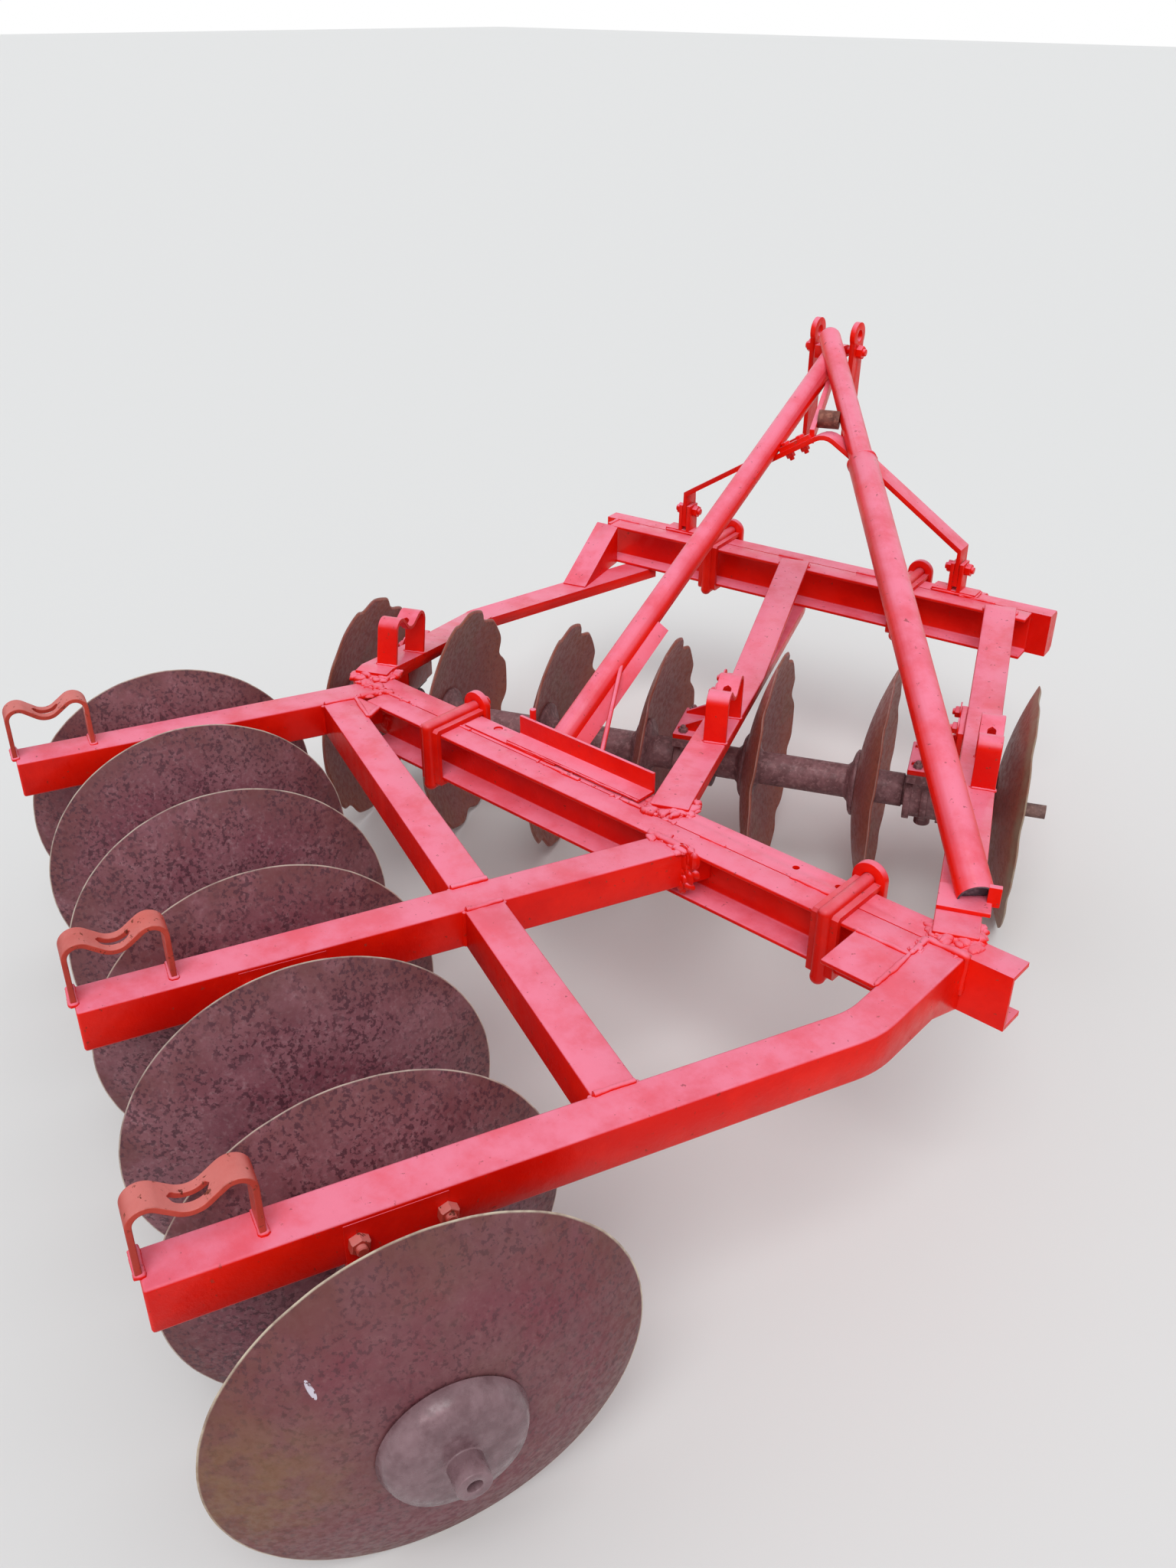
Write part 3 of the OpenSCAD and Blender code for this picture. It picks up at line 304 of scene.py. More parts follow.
def edges(m, radius):
    """0 on flats and 1 on sharp edges: one less the dot product of the true
    normal and a normal rounded over that radius."""
    softened = put(m.tree, "ShaderNodeBevel", samples=4, Radius=radius).outputs["Normal"]
    plain = put(m.tree, "ShaderNodeNewGeometry").outputs["Normal"]
    dot = put(m.tree, "ShaderNodeVectorMath", {0: softened, 1: plain}, operation="DOT_PRODUCT")
    return spread(m.tree, dot.outputs["Value"], 0.995, 0.86)


def facing_up(m, low, high):
    """1 on faces that look up, where sun and dust pale the paint and where
    a painted sheen stands in for the sky's reflection.
    """
    plain = put(m.tree, "ShaderNodeNewGeometry").outputs["Normal"]
    parts = put(m.tree, "ShaderNodeSeparateXYZ", Vector=plain)
    return spread(m.tree, parts.outputs["Z"], low, high, kind="SMOOTHSTEP")


def nearness(m, places, far, close):
    """0 where the sum of the distances to the places is far or more, 1 where
    it is close or less. One place gives a round spot, two give an ellipse."""
    total = 0.0
    for place in places:
        span = put(m.tree, "ShaderNodeVectorMath", {0: m.where, 1: place},
                   operation="DISTANCE")
        total = maths(m, "ADD", total, span.outputs["Value"])
    return spread(m.tree, total, far, close, kind="SMOOTHSTEP")


# %% [markdown]
# ## Red paint
#
# The frame was brushed with a thick glossy enamel over old rust. It is deep
# red on the sides and a chalky pink-red on top: partly paint paled by sun
# and dust, partly a painted sheen that stands in for the bright sky
# reflected by the glossy tops. It has runs and lumps where it covers rough
# steel, and small brown chips, mostly along edges. Wear and sheen could be
# painted by hand on each bar. Here they are worked out from the mesh
# itself, from what looks up and what is a sharp edge, so one recipe suits
# every bar and clamp.

# %% Red paint
def red_paint(name, deep, bright, top_fade_and_sheen, chips, gloss):
    """Paint from three reds; chips is how much rust shows, gloss its roughness."""
    m = start_material(name, deep, Coat_Roughness=0.15, IOR=1.45, Specular_IOR_Level=0.15)
    cover(m, mask(m, 7.0, 0.38, 0.66), bright)
    cover(m, times(m, mask(m, 55.0, 0.55, 0.75, 6.0), 0.35), deep)
    broken = value_mix(m, mask(m, 11.0, 0.3, 0.62, 6.0), 0.55, 1.0)
    # Tops: paint paled by sun and dust, with a painted sheen for the sky's reflection on the
    # gloss.
    cover(m, times(m, facing_up(m, 0.3, 0.92), broken), top_fade_and_sheen)
    low = 0.66 - chips * 0.08
    spots = times(m, mask(m, 90.0, low, low + 0.06, 5.0), min(1.0, 0.35 + chips))
    worn = times(m, edges(m, 0.003), mask(m, 60.0, 0.5, 0.62, 6.0))
    rusty = maths(m, "MAXIMUM", spots, times(m, worn, chips))
    cover(m, rusty, colour_mix(m, mask(m, 220.0, 0.4, 0.6), (0.11, 0.022, 0.016),
                               (0.22, 0.06, 0.035)))
    rough = value_mix(m, mask(m, 30.0, 0.35, 0.7), gloss, gloss + 0.14)
    runs = relief(m, 18.0, 130.0, 0.3, 0.8, 2.6)
    return finish_material(
        m, Roughness=value_mix(m, rusty, rough, 0.8), Coat_Weight=value_mix(m, rusty, 0.12, 0.0),
        Normal=relief(m, 90.0, 600.0, 0.45, 0.45, 0.8, Normal=runs)).material


# The fourth colour of each paint is its top colour: paled paint and painted sheen.
FRAME_RED = red_paint("frame red enamel", (0.72, 0.005, 0.001), (0.86, 0.01, 0.002),
                      (0.94, 0.235, 0.345), 0.24, 0.3)
SADDLE_RED = red_paint("thin red over rust", (0.44, 0.045, 0.03), (0.6, 0.075, 0.05),
                       (0.68, 0.19, 0.17), 0.6, 0.45)
CLAMP_RED = red_paint("clamp red enamel", (0.64, 0.006, 0.002), (0.8, 0.014, 0.005),
                      (0.88, 0.16, 0.215), 0.3, 0.3)
print("paints:", FRAME_RED.name, SADDLE_RED.name, CLAMP_RED.name, sep=" | ")

# %% [markdown]
# ## Rust
#
# The discs have worked in soil and then stood in the rain: a dark, purple
# brown skin with paler worn patches and small black pits, and a bright thin
# rim where they are sharpened. The disc pieces carry an attribute with the
# distance from the rim in millimetres, which places the bright band. The
# distance from the axle would do for a round disc, but not for a notched one.

# %% Rusty disc steel
DRY_SOIL = (0.19, 0.125, 0.075)


def disc_steel(name, dark, maroon, middle, pale, rim, band, earth, mottle):
    """Rust from four browns: maroon and middle lie in wide patches, pale and
    dark are fine specks and pits that show as strongly as mottle. rim is the
    colour of the worn edge, band its width in millimetres, and earth the
    share of dried soil. Towards the rim the rust turns browner."""
    m = start_material(name, middle, IOR=1.5, Specular_IOR_Level=0.38)
    cover(m, mask(m, 5.0, 0.36, 0.62, 3.0), maroon)
    cover(m, times(m, mask(m, 130.0, 0.48, 0.74, 6.0), mottle), pale)
    cover(m, times(m, mask(m, 16.0, 0.42, 0.62, 5.0), mottle * 0.55),
          tuple(0.45 * a + 0.55 * b for a, b in zip(dark, maroon)))
    distance = put(m.tree, "ShaderNodeAttribute", attribute_name="rim_mm").outputs["Fac"]
    outer = spread(m.tree, distance, 90.0, 8.0, 0.0, 0.75)
    cover(m, times(m, outer, mask(m, 10.0, 0.3, 0.56, 5.0)),
          (dark[0] * 2.0, dark[1] * 2.1, dark[2] * 1.25))
    low = 0.565 - 0.1 * mottle
    pits = times(m, mask(m, 19.0, 0.34, 0.54), mask(m, 135.0, low, low + 0.06, 6.0))
    cover(m, times(m, pits, mottle + 0.2), dark)
    if earth:
        cover(m, times(m, mask(m, 9.0, 0.5, 0.66), earth), DRY_SOIL)
    edge = times(m, spread(m.tree, distance, band * 0.4, band, 1.0, 0.0),
                 value_mix(m, mask(m, 26.0, 0.35, 0.6, 7.0), 0.45, 1.0))
    cover(m, edge, rim)
    rough = value_mix(m, mask(m, 85.0, 0.42, 0.6, 6.0), 0.42, 0.62)
    bumps = relief(m, 60.0, 330.0, 0.4, 0.35 + mottle * 0.3, 0.8)
    return finish_material(
        m, Roughness=value_mix(m, edge, rough, 0.45),
        Metallic=value_mix(m, mask(m, 60.0, 0.45, 0.6), 0.0, 0.2),
        Normal=relief(m, 170.0, 900.0, 0.5, 0.35, 0.4, Normal=bumps))


REAR_STEEL = disc_steel(
    "rear disc rust", (0.07, 0.02, 0.032), (0.225, 0.064, 0.088), (0.27, 0.104, 0.126),
    (0.4, 0.22, 0.245), (0.6, 0.5, 0.42), 2.2, 0.0, 0.6).material
OUTER = disc_steel(
    "outer rear disc rust", (0.07, 0.022, 0.03), (0.18, 0.036, 0.052), (0.18, 0.062, 0.072),
    (0.26, 0.11, 0.115), (0.62, 0.52, 0.4), 3.0, 0.1, 0.42)
FRONT_STEEL = disc_steel(
    "front disc rust", (0.165, 0.044, 0.042), (0.245, 0.06, 0.058), (0.285, 0.084, 0.078),
    (0.34, 0.125, 0.115), (0.34, 0.165, 0.14), 2.0, 0.25, 0.3).material
LAST_STEEL = disc_steel(
    "worn front disc rust", (0.17, 0.052, 0.048), (0.235, 0.074, 0.068), (0.275, 0.1, 0.088),
    (0.33, 0.145, 0.12), (0.3, 0.215, 0.145), 32.0, 0.3, 0.35).material
print("disc rusts:", [m.name for m in bpy.data.materials if "disc" in m.name])

# %% Marks on the outer rear disc
SOIL_AT = [tuple(metres([735, -236, -10], REAR))]
SCRATCH = [tuple(metres([737.9, -151.2, 149.6], REAR)),
           tuple(metres([746.1, -143.5, 122.8], REAR))]
cover(OUTER, times(OUTER, nearness(OUTER, SOIL_AT, 0.19, 0.03),
                   value_mix(OUTER, mask(OUTER, 24.0, 0.4, 0.6, 6.0), 0.3, 0.75)),
      (0.215, 0.105, 0.05))
cover(OUTER, times(OUTER, nearness(OUTER, SCRATCH, 0.0302, 0.0296),
                   mask(OUTER, 150.0, 0.34, 0.42, 2.0)), (0.62, 0.56, 0.64))
OUTER_STEEL = finish_material(OUTER).material
print("marks: dried soil and a chalky scratch")

# %% [markdown]
# The castings, axles and pins were never painted. Their rust is coarser than
# on the discs and has no bright rim, so they get a shorter recipe of their
# own, with pale worn edges, and five sets of browns and greys. The last set,
# in dark greys, is painted shade for the inside of a tube.

# %% Rusty castings, axles and pins
def cast_rust(name, dark, middle, pale, strength, rough_from=0.55, mottle=0.7):
    """Coarse rust for castings and turned steel that was never painted; mottle
    is how strongly the pale specks show."""
    m = start_material(name, middle, IOR=1.5)
    cover(m, mask(m, 30.0, 0.36, 0.62, 7.0), dark)
    cover(m, times(m, mask(m, 110.0, 0.5, 0.62, 6.0), mottle), pale)
    cover(m, times(m, edges(m, 0.004), 0.5), pale)
    rough = value_mix(m, mask(m, 90.0, 0.4, 0.6), rough_from, rough_from + 0.2)
    return finish_material(
        m, Roughness=rough, Metallic=value_mix(m, mask(m, 50.0, 0.45, 0.6), 0.0, 0.25),
        Normal=relief(m, 90.0, 420.0, 0.45, 0.7, strength)).material


CAST = cast_rust("rusty castings", (0.155, 0.064, 0.07), (0.25, 0.112, 0.122),
                 (0.33, 0.17, 0.178), 0.7, 0.5)
HUB = cast_rust("rusty end cap", (0.165, 0.088, 0.1), (0.235, 0.136, 0.152),
                (0.29, 0.18, 0.198), 0.2, 0.25, 0.2)
AXLE = cast_rust("rusty axle steel", (0.11, 0.055, 0.05), (0.19, 0.1, 0.085),
                 (0.27, 0.155, 0.13), 0.8)
PIN = cast_rust("rusty pin", (0.1, 0.03, 0.022), (0.2, 0.06, 0.04), (0.32, 0.12, 0.08), 0.8)
# The last set is no rust: its dark greys are painted shade inside the right stay's open end.
DARK_SHADE = cast_rust("painted shade inside a tube", (0.045, 0.045, 0.055), (0.11, 0.11, 0.125),
                 (0.17, 0.17, 0.19), 0.6)
print("materials:", len(bpy.data.materials))

# %% [markdown]
# ## The frame's bars, with rounded painted edges
#
# Rolled steel and thick paint have no knife edges. Each solid is copied, its
# loose triangles are merged into whole faces, and a bevel of a few
# millimetres rounds its corners, so that they catch the light. The copy then
# stands for the solid. The bars could be modelled anew, but a copy can't drift
# from the solid's place.

# %% Meshes and pieces
BODY_OF = {node: body for body, nodes in frame["record"]["behaviour"]["bodies"].items()
           for node in nodes}


def cleaned(mesh, merge, flatten):
    """Merges double points where asked. A solid's flat faces are made whole;
    otherwise all faces are turned outwards."""
    work = bmesh.new()
    work.from_mesh(mesh)
    if merge:
        bmesh.ops.remove_doubles(work, verts=work.verts, dist=1e-5)
    if flatten:
        bmesh.ops.dissolve_limit(work, angle_limit=math.radians(1.0), verts=work.verts,
                                 edges=work.edges)
    else:
        bmesh.ops.recalc_face_normals(work, faces=work.faces)
    work.to_mesh(mesh)
    work.free()
    return mesh


def built(name, points, faces, merge=False):
    """A mesh from an array of points in metres and lists of corners."""
    mesh = bpy.data.meshes.new(name)
    mesh.from_pydata(points.tolist(), [], faces)
    return cleaned(mesh, merge, flatten=False)


def shown(name, mesh, material, node=None, slot="red_paint", sharp=None):
    """A piece with smooth faces. With a node it stands for that node's solid,
    on its body; without one it rides on the frame. slot is not used. Edges
    over sharp degrees stay sharp."""
    mesh.materials.append(material)
    mesh.polygons.foreach_set("use_smooth", np.ones(len(mesh.polygons), bool))
    if sharp:
        mesh.set_sharp_from_angle(angle=math.radians(sharp))
    piece = add_object(name, mesh)
    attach(piece, BODY_OF[node] if node else "root")
    if node:
        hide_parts(node)
    return piece


def rounded(piece, width_mm, angle=38):
    """Rounds the edges that turn by more than the angle."""
    bevel = piece.modifiers.new("rounded edges", "BEVEL")
    bevel.width, bevel.segments, bevel.limit_method = width_mm / 1000, 2, "ANGLE"
    bevel.angle_limit, bevel.harden_normals = math.radians(angle), True


# %% Dress a solid
def dressed(node, material, bevel_mm, worn=None):
    """A copy of a solid: doubles merged, flat faces made whole and sharp edges
    rounded by bevel_mm. worn is a function that moves an array of points."""
    mesh = frame["nodes"][node].data.copy()
    mesh.name = node + "_dressed"
    mesh.materials.clear()
    if worn:
        corners = np.empty(len(mesh.vertices) * 3)
        mesh.vertices.foreach_get("co", corners)
        mesh.vertices.foreach_set("co", worn(corners.reshape(-1, 3)).ravel())
    cleaned(mesh, merge=True, flatten=True)
    piece = shown(node + "_dressed", mesh, material, node, sharp=None if bevel_mm else 38)
    if bevel_mm:
        rounded(piece, bevel_mm)


# %% Dress the frame
BARS = {
    "mid_beam_front": 3.0, "mid_beam_rear": 3.0, "front_beam_rear": 3.0, "hitch_box": 0.0,
    "rear_arm_left": 4.0, "rear_arm_middle": 4.0, "rear_arm_right": 4.0, "cross_brace": 3.5,
    "corner_plate": 2.0, "overhang_plate": 2.0, "front_arm_left": 3.0, "front_arm_middle": 3.0,
    "front_arm_right": 3.0, "clamp_plates": 2.0, "stay_left": 1.5, "stay_right": 1.5,
    "stay_foot": 1.5, "mast_strap_left": 2.0, "mast_strap_right": 2.0, "strap_clevises": 1.2,
    "mast_bolts": 1.0, "yoke_arch": 1.5, "yoke_bar": 1.5, "stay_rod": 0.0, "angle_iron": 1.2,
    "beam_plate": 0.8, "lower_pin_left": 2.0, "lower_pin_right": 2.0, "front_hangers": 1.8,
}
CLAMPS = ("clamp_mid_left", "clamp_mid_right", "clamp_front_left", "clamp_front_right")
for node, bevel_mm in BARS.items():
    dressed(node, FRAME_RED, bevel_mm)
for node in CLAMPS:
    dressed(node, CLAMP_RED, 1.5)
print("dressed:", len(BARS) + len(CLAMPS), "painted solids")

# %% Painted shade on the inside of the right stay
mesh = bpy.data.objects["stay_right_dressed"].data
middles = np.empty(len(mesh.polygons) * 3)
mesh.polygons.foreach_get("center", middles)
across = middles.reshape(-1, 3) - metres(RIGHT_FOOT)
across -= np.outer(across @ RIGHT_AXIS, RIGHT_AXIS)
inside = np.linalg.norm(across, axis=1) < STAY_INNER
# The faces inside the tube take the dark greys of painted shade.
mesh.materials.append(DARK_SHADE)
mesh.polygons.foreach_set("material_index", inside.astype(np.int32))
print("dark faces inside the right stay:", int(inside.sum()))

# %% [markdown]
# Bearings, spools, axles and washers are dressed the same way. Only the outer
# end cap is flatter and shorter than its solid, as if worn by scraping. Its
# points are moved by a profile from new to worn, before its edges are rounded.

# %% Dress the castings, spools and axles
CAP_NEW, CAP_WORN = [0, 8, 20, 38, 48, 54, 86], [0, 16, 25, 32, 35, 36, 68]
STUB_FROM, STUB_SHARE, DOME_SHARE = 49.5, 0.76, 0.94


def worn_cap(points):
    """The outer end cap after years of scraping: a steep edge, a dome that is
    36 mm high and a slim stub that ends 68 mm out, where a new one has 54 and
    86 mm."""
    local = (points * 1000 + MIDDLE - REAR[0]) @ REAR[1].T
    out = local[:, 0] - (REAR_DISCS[-1] + DISC_T / 2)
    outer = out > 0
    local[outer, 0] += (np.interp(out, CAP_NEW, CAP_WORN) - out)[outer]
    slim = np.where(outer, np.where(out > STUB_FROM, STUB_SHARE, DOME_SHARE), 1.0)
    local[:, 1:] *= slim[:, None]
    return metres(local, REAR)


for kind, material, bevel_mm in (("bearings", CAST, 2.5), ("spools", CAST, 1.5),
                                 ("axle", AXLE, 1.0)):
    for gang in ("rear", "front"):
        dressed(f"{gang}_{kind}", material, bevel_mm)
dressed("rear_end_washers", HUB, 1.5, worn_cap)
dressed("front_end_washers", CAST, 1.5)
dressed("yoke_pin", PIN, 2.0)
print("dressed: bearings, spools, axles, end washers and the yoke's pin")

# %% [markdown]
# ## Saddles
#
# A saddle is a strip bent into a wave: up one leg, over a hump, down through
# a broad dip and back the same way, with a slot in the dip. Its middle line
# is worked out first, and the strip then follows it. A drawn curve could be
# pulled into shape by eye, but arcs and straight lines keep one radius in
# each bend, as a press does.

# %% Saddle middle line
SADDLE_T, SADDLE_W, SADDLE_L, SADDLE_H = 8.0, 44.0, 146.0, 98.0
HUMP_R, DIP_R, DIP = 20.0, 30.0, 24.0
SLOT_R, SLOT_HALF = 7.5, 19.0
SADDLE_MID = (SADDLE_L - SADDLE_T) / 2


def distances(line):
    """How far along a line each of its points lies."""
    return np.concatenate([[0], np.cumsum(np.linalg.norm(np.diff(line, axis=0), axis=1))])


def points_at(line, s):
    """Points on a line at those distances along it."""
    return np.stack([np.interp(s, distances(line), column) for column in line.T], -1)


def lean(fall):
    """Cosine and sine of the angle of a slope."""
    return 1 / math.hypot(1, fall), fall / math.hypot(1, fall)


def wave_slope():
    """The steepest slope, where two arcs and the straight line between them
    drop by the dip: found by trying a fine row of angles."""
    a = np.linspace(0.3, 1.2, 900)
    both = HUMP_R + DIP_R
    drop = both * (1 - np.cos(a)) + np.tan(a) * (SADDLE_MID - HUMP_R - both * np.sin(a))
    return a[np.abs(drop - DIP).argmin()]


def saddle_line():
    """Middle line as (y, z) points, left foot to right foot, 2 mm apart, with
    their distances along it from the middle."""
    a, top = wave_slope(), SADDLE_H - SADDLE_T / 2
    hump = np.linspace(np.pi, np.pi / 2 - a, 16)
    dip = np.linspace(-np.pi / 2 - a, -np.pi / 2, 16)
    left = np.concatenate([
        [[0.0, -1.0]],
        np.stack([HUMP_R + HUMP_R * np.cos(hump), top - HUMP_R + HUMP_R * np.sin(hump)], 1),
        np.stack([SADDLE_MID + DIP_R * np.cos(dip),
                  top - DIP + DIP_R + DIP_R * np.sin(dip)], 1)])
    line = np.concatenate([left, (left * [-1, 1] + [2 * SADDLE_MID, 0])[::-1][1:]])
    whole = distances(line)[-1]
    even = np.linspace(0, whole, int(whole / 2) | 1)
    return even - whole / 2, points_at(line, even)


# %% Bent strips
def saddle_piece(name, node, place, feet, material):
    """Strips as sheets of four columns: the edges and the two sides of the
    slot, which close up beyond its ends. A solidify modifier gives the
    thickness. feet lists each strip's x, y, z and fall."""
    s, line = saddle_line()
    past = np.clip(np.abs(s) - SLOT_HALF, 0, None)
    slot = np.sqrt(np.clip(SLOT_R**2 - past**2, 0, None))
    side = np.full_like(s, SADDLE_W / 2)
    columns = np.stack([-side, -slot, slot, side], 1)
    points, faces = [], []
    for x, y, z, fall in feet:
        c, d = lean(fall)
        along, rise = line[:, :1] * c + line[:, 1:] * d, line[:, 1:] * c - line[:, :1] * d
        grid = np.stack(np.broadcast_arrays(x + columns, y + along, z + rise), -1)
        a = len(points) * columns.size + np.arange(columns.size).reshape(columns.shape)
        points.append(metres(grid.reshape(-1, 3), place))
        faces += [np.stack([a[:-1, k], a[1:, k], a[1:, k + 1], a[:-1, k + 1]], -1)
                  for k in (0, 2)]
    mesh = built(name, np.concatenate(points), np.concatenate(faces).tolist(), merge=True)
    piece = shown(name, mesh, material, node)
    skin = piece.modifiers.new("thickness", "SOLIDIFY")
    skin.thickness, skin.offset, skin.use_even_offset = SADDLE_T / 1000, 0, True
    rounded(piece, 1.5, 50)


REAR_SADDLE_X, REAR_SADDLE_Y = -10.5, -292.0
FRONT_SADDLE_X, FRONT_SADDLE_Y, FRONT_FOOT = 13.0, (-262.0, -335.0, -335.0), -3.0
saddle_piece("rear_saddle_strips", "saddles_rear", REAR,
             [(x + REAR_SADDLE_X, REAR_SADDLE_Y + SADDLE_T / 2, TOP - REAR_R, 0.0)
              for x in REAR_ARMS], SADDLE_RED)
saddle_piece("front_saddle_strips", "saddles_front", FRONT,
             [(x + FRONT_SADDLE_X, y + FRONT_FOOT + SADDLE_T / 2, FRONT_ARM_TOP - fall * y, fall)
              for x, y, fall in zip(FRONT_ARMS, FRONT_SADDLE_Y, FRONT_FALLS)], FRAME_RED)
print("wave slope", round(math.degrees(wave_slope()), 1), "degrees")

# %% [markdown]
# ## Discs
#
# A disc is a slice of a sphere with a flat middle. As a surface it is a
# function of two numbers: how far out, from 0 to 1, and the turn angle. A
# front disc's notches are taken off its rim radius, so the same grid makes
# both kinds. Cutting the notches out with a boolean would leave long thin
# faces that spoil the shading of the dish.

# %% Disc surface
DISH_RADIUS, FLAT_RADIUS, HOLE_RADIUS = 620.0, 75.0, 12.0
NOTCHES, NOTCH_HALF = 10, 33.0
RIM_SLANT, LIP = 6.0, 1.2


def dish(r):
    """Depth at radius r: nothing on the flat, then the sphere's own depth,
    the root of R squared less r squared, counted from the flat's edge."""
    base = math.sqrt(DISH_RADIUS**2 - FLAT_RADIUS**2)
    return np.where(r < FLAT_RADIUS, 0.0, base - np.sqrt(DISH_RADIUS**2 - r**2))


def rim_radius(turn, radius, depth):
    """Rim at each angle. A worn notch is a shallow bay, 66 mm wide: its depth
    falls off as one less the square of the way from its middle to its end. A
    running mean then rounds the points between bays."""
    if not depth:
        return np.full_like(turn, radius)
    step = 2 * np.pi / NOTCHES
    off = (turn + step / 2) % step - step / 2
    rim = radius - depth * np.clip(1 - (off * radius / NOTCH_HALF) ** 2, 0, None)
    return sum(np.roll(rim, k) for k in range(-3, 4)) / 7


def disc_piece(name, node, place, x, side, radius, depth, material, seed):
    """Both faces and the rim of a disc on one grid. Rings run from the hole's
    edge out over one face, round the rim, and back over the other. side is +1
    when the hollow looks along +x of the gang; depth is that of the notches."""
    rng = np.random.default_rng(seed)
    turn = np.linspace(0, 2 * np.pi, 360 if depth else 240, endpoint=False)
    rim = rim_radius(turn, radius, depth)
    waves = sum(rng.uniform(0.1, 0.4) * np.sin(k * turn + rng.uniform(0, 6.3))
                for k in (5, 9, 14, 23))
    rim = rim - 0.35 - 0.5 * np.abs(waves)
    flat = FLAT_RADIUS / radius
    share = np.concatenate([[0.0], flat * np.array([0.35, 0.7, 1.0]),
                            np.linspace(flat, 1, 17)[1:]])[:, None]
    bow = 0.5 * np.sin(2 * turn + rng.uniform(0, 6.3)) * share**2
    bulge = HOLE_RADIUS + (rim - HOLE_RADIUS) * share
    hollow = HOLE_RADIUS + (rim - RIM_SLANT - HOLE_RADIUS) * share
    radii = np.vstack([hollow, rim - LIP, bulge[::-1]])
    xs = np.vstack([bow - dish(hollow) - DISC_T, bow[-1] - dish(rim - LIP) - DISC_T * 0.3,
                    (bow - dish(bulge))[::-1]])
    local = np.stack([x - side * xs, radii * np.sin(turn), radii * np.cos(turn)], -1)
    a = np.arange(radii.size).reshape(radii.shape)
    out = np.roll(a, -1, axis=0)
    quads = np.stack([a, out, np.roll(out, -1, axis=1), np.roll(a, -1, axis=1)], -1)
    mesh = built(name, metres(local.reshape(-1, 3), place), quads.reshape(-1, 4).tolist())
    distance = np.vstack([rim - hollow, np.full_like(rim, 0.5), (rim - bulge)[::-1]])
    layer = mesh.attributes.new("rim_mm", "FLOAT", "POINT")
    layer.data.foreach_set("value", distance.astype(np.float32).ravel())
    shown(name, mesh, material, node, sharp=40)


# %% Fourteen discs
NOTCH_DEPTHS = (16, 16, 16, 15, 12, 6, 5)
for i, x in enumerate(REAR_DISCS):
    disc_piece(f"plain_disc_{i + 1}", f"rear_disc_{i + 1}", REAR, x + DISC_T / 2, -1, REAR_R,
               0, OUTER_STEEL if i == 6 else REAR_STEEL, 40 + i)
for i, x in enumerate(FRONT_DISCS):
    disc_piece(f"notched_disc_{i + 1}", f"front_disc_{i + 1}", FRONT, x - DISC_T / 2, 1,
               FRONT_R, NOTCH_DEPTHS[i], LAST_STEEL if i == 6 else FRONT_STEEL, 60 + i)

# %% [markdown]
# ## Welds
#
# The frame is held together by thick hand-laid beads, and they are the most
# telling detail of a farm-built machine. A bead is a tube laid along a seam:
# its radius swells and shrinks with each ripple and wanders a little. A bump
# in the paint would be quicker, but it can't stand out from a corner.

# %% Tubes and joined pieces
def square_to(axis):
    """Two unit vectors that are square to an axis and to each other."""
    helper = np.where(np.abs(axis[..., 2:3]) < 0.9, [0.0, 0.0, 1.0], [1.0, 0.0, 0.0])
    first = unit(np.cross(axis, helper))
    return first, np.cross(axis, first)


def tube_faces(rows, columns, capped=False):
    """Quads over rings of points, and the two end faces if capped."""
    a = np.arange(rows * columns).reshape(rows, columns)
    b = np.roll(a, -1, axis=1)
    faces = np.stack([a[:-1], b[:-1], b[1:], a[1:]], -1).reshape(-1, 4).tolist()
    return faces + [a[0][::-1].tolist(), a[-1].tolist()] if capped else faces


def joined(name, parts, material=FRAME_RED, **kept):
    """One piece from pairs of points, in beam millimetres, and faces."""
    faces, base = [], 0
    for points, corners in parts:
        faces.extend([[v + base for v in face] for face in corners])
        base += len(points)
    mesh = built(name, metres(np.concatenate([points for points, _ in parts])), faces)
    print(name, len(mesh.polygons), "faces")
    return shown(name, mesh, material, sharp=42, **kept)


# %% Weld bead
def bead(path, radius, seed, place=BEAM):
    """A lumpy tube along a path. At distance s its radius is the given one,
    times 1 plus a ripple of 5 mm length, plus slow random swelling; its ends
    close down to a point."""
    rng = np.random.default_rng(seed)
    line = in_beam(path, place)
    whole = distances(line)[-1]
    count, knots = max(6, int(whole / 2.6)), max(3, int(whole / 14))
    s = np.linspace(0, whole, count)
    centre = points_at(line, s)
    first, second = square_to(unit(np.gradient(centre, axis=0)))
    slow = np.interp(s, np.linspace(0, whole, knots), rng.uniform(-0.3, 0.35, knots))
    ripple = 0.13 * np.abs(np.sin(np.pi * s / 5.2 + rng.uniform(0, 3)))
    ends = np.clip(np.minimum(s, whole - s) / (radius * 0.9), 0, 1)
    size = radius * (1 + ripple + slow) * np.sqrt(1 - (1 - ends) ** 2) + 0.05
    wander = np.cumsum(rng.uniform(-0.35, 0.35, (count, 3)), axis=0)
    wander -= np.linspace(0, 1, count)[:, None] * wander[-1]
    centre = centre + np.clip(wander, -radius * 0.3, radius * 0.3)
    ring = np.linspace(0, 2 * np.pi, 9, endpoint=False)[None, :, None]
    spokes = np.cos(ring) * first[:, None] + np.sin(ring) * second[:, None]
    points = centre[:, None] + size[:, None, None] * spokes
    return points.reshape(-1, 3), tube_faces(count, 9)


# %% [markdown]
# The rear hangers are bars too: a thin tongue on each arm's side, a plate
# below it and a shelf over the bearing, with two gussets in the corner. They
# are cut from plate, so boxes with a narrow bevel are enough.

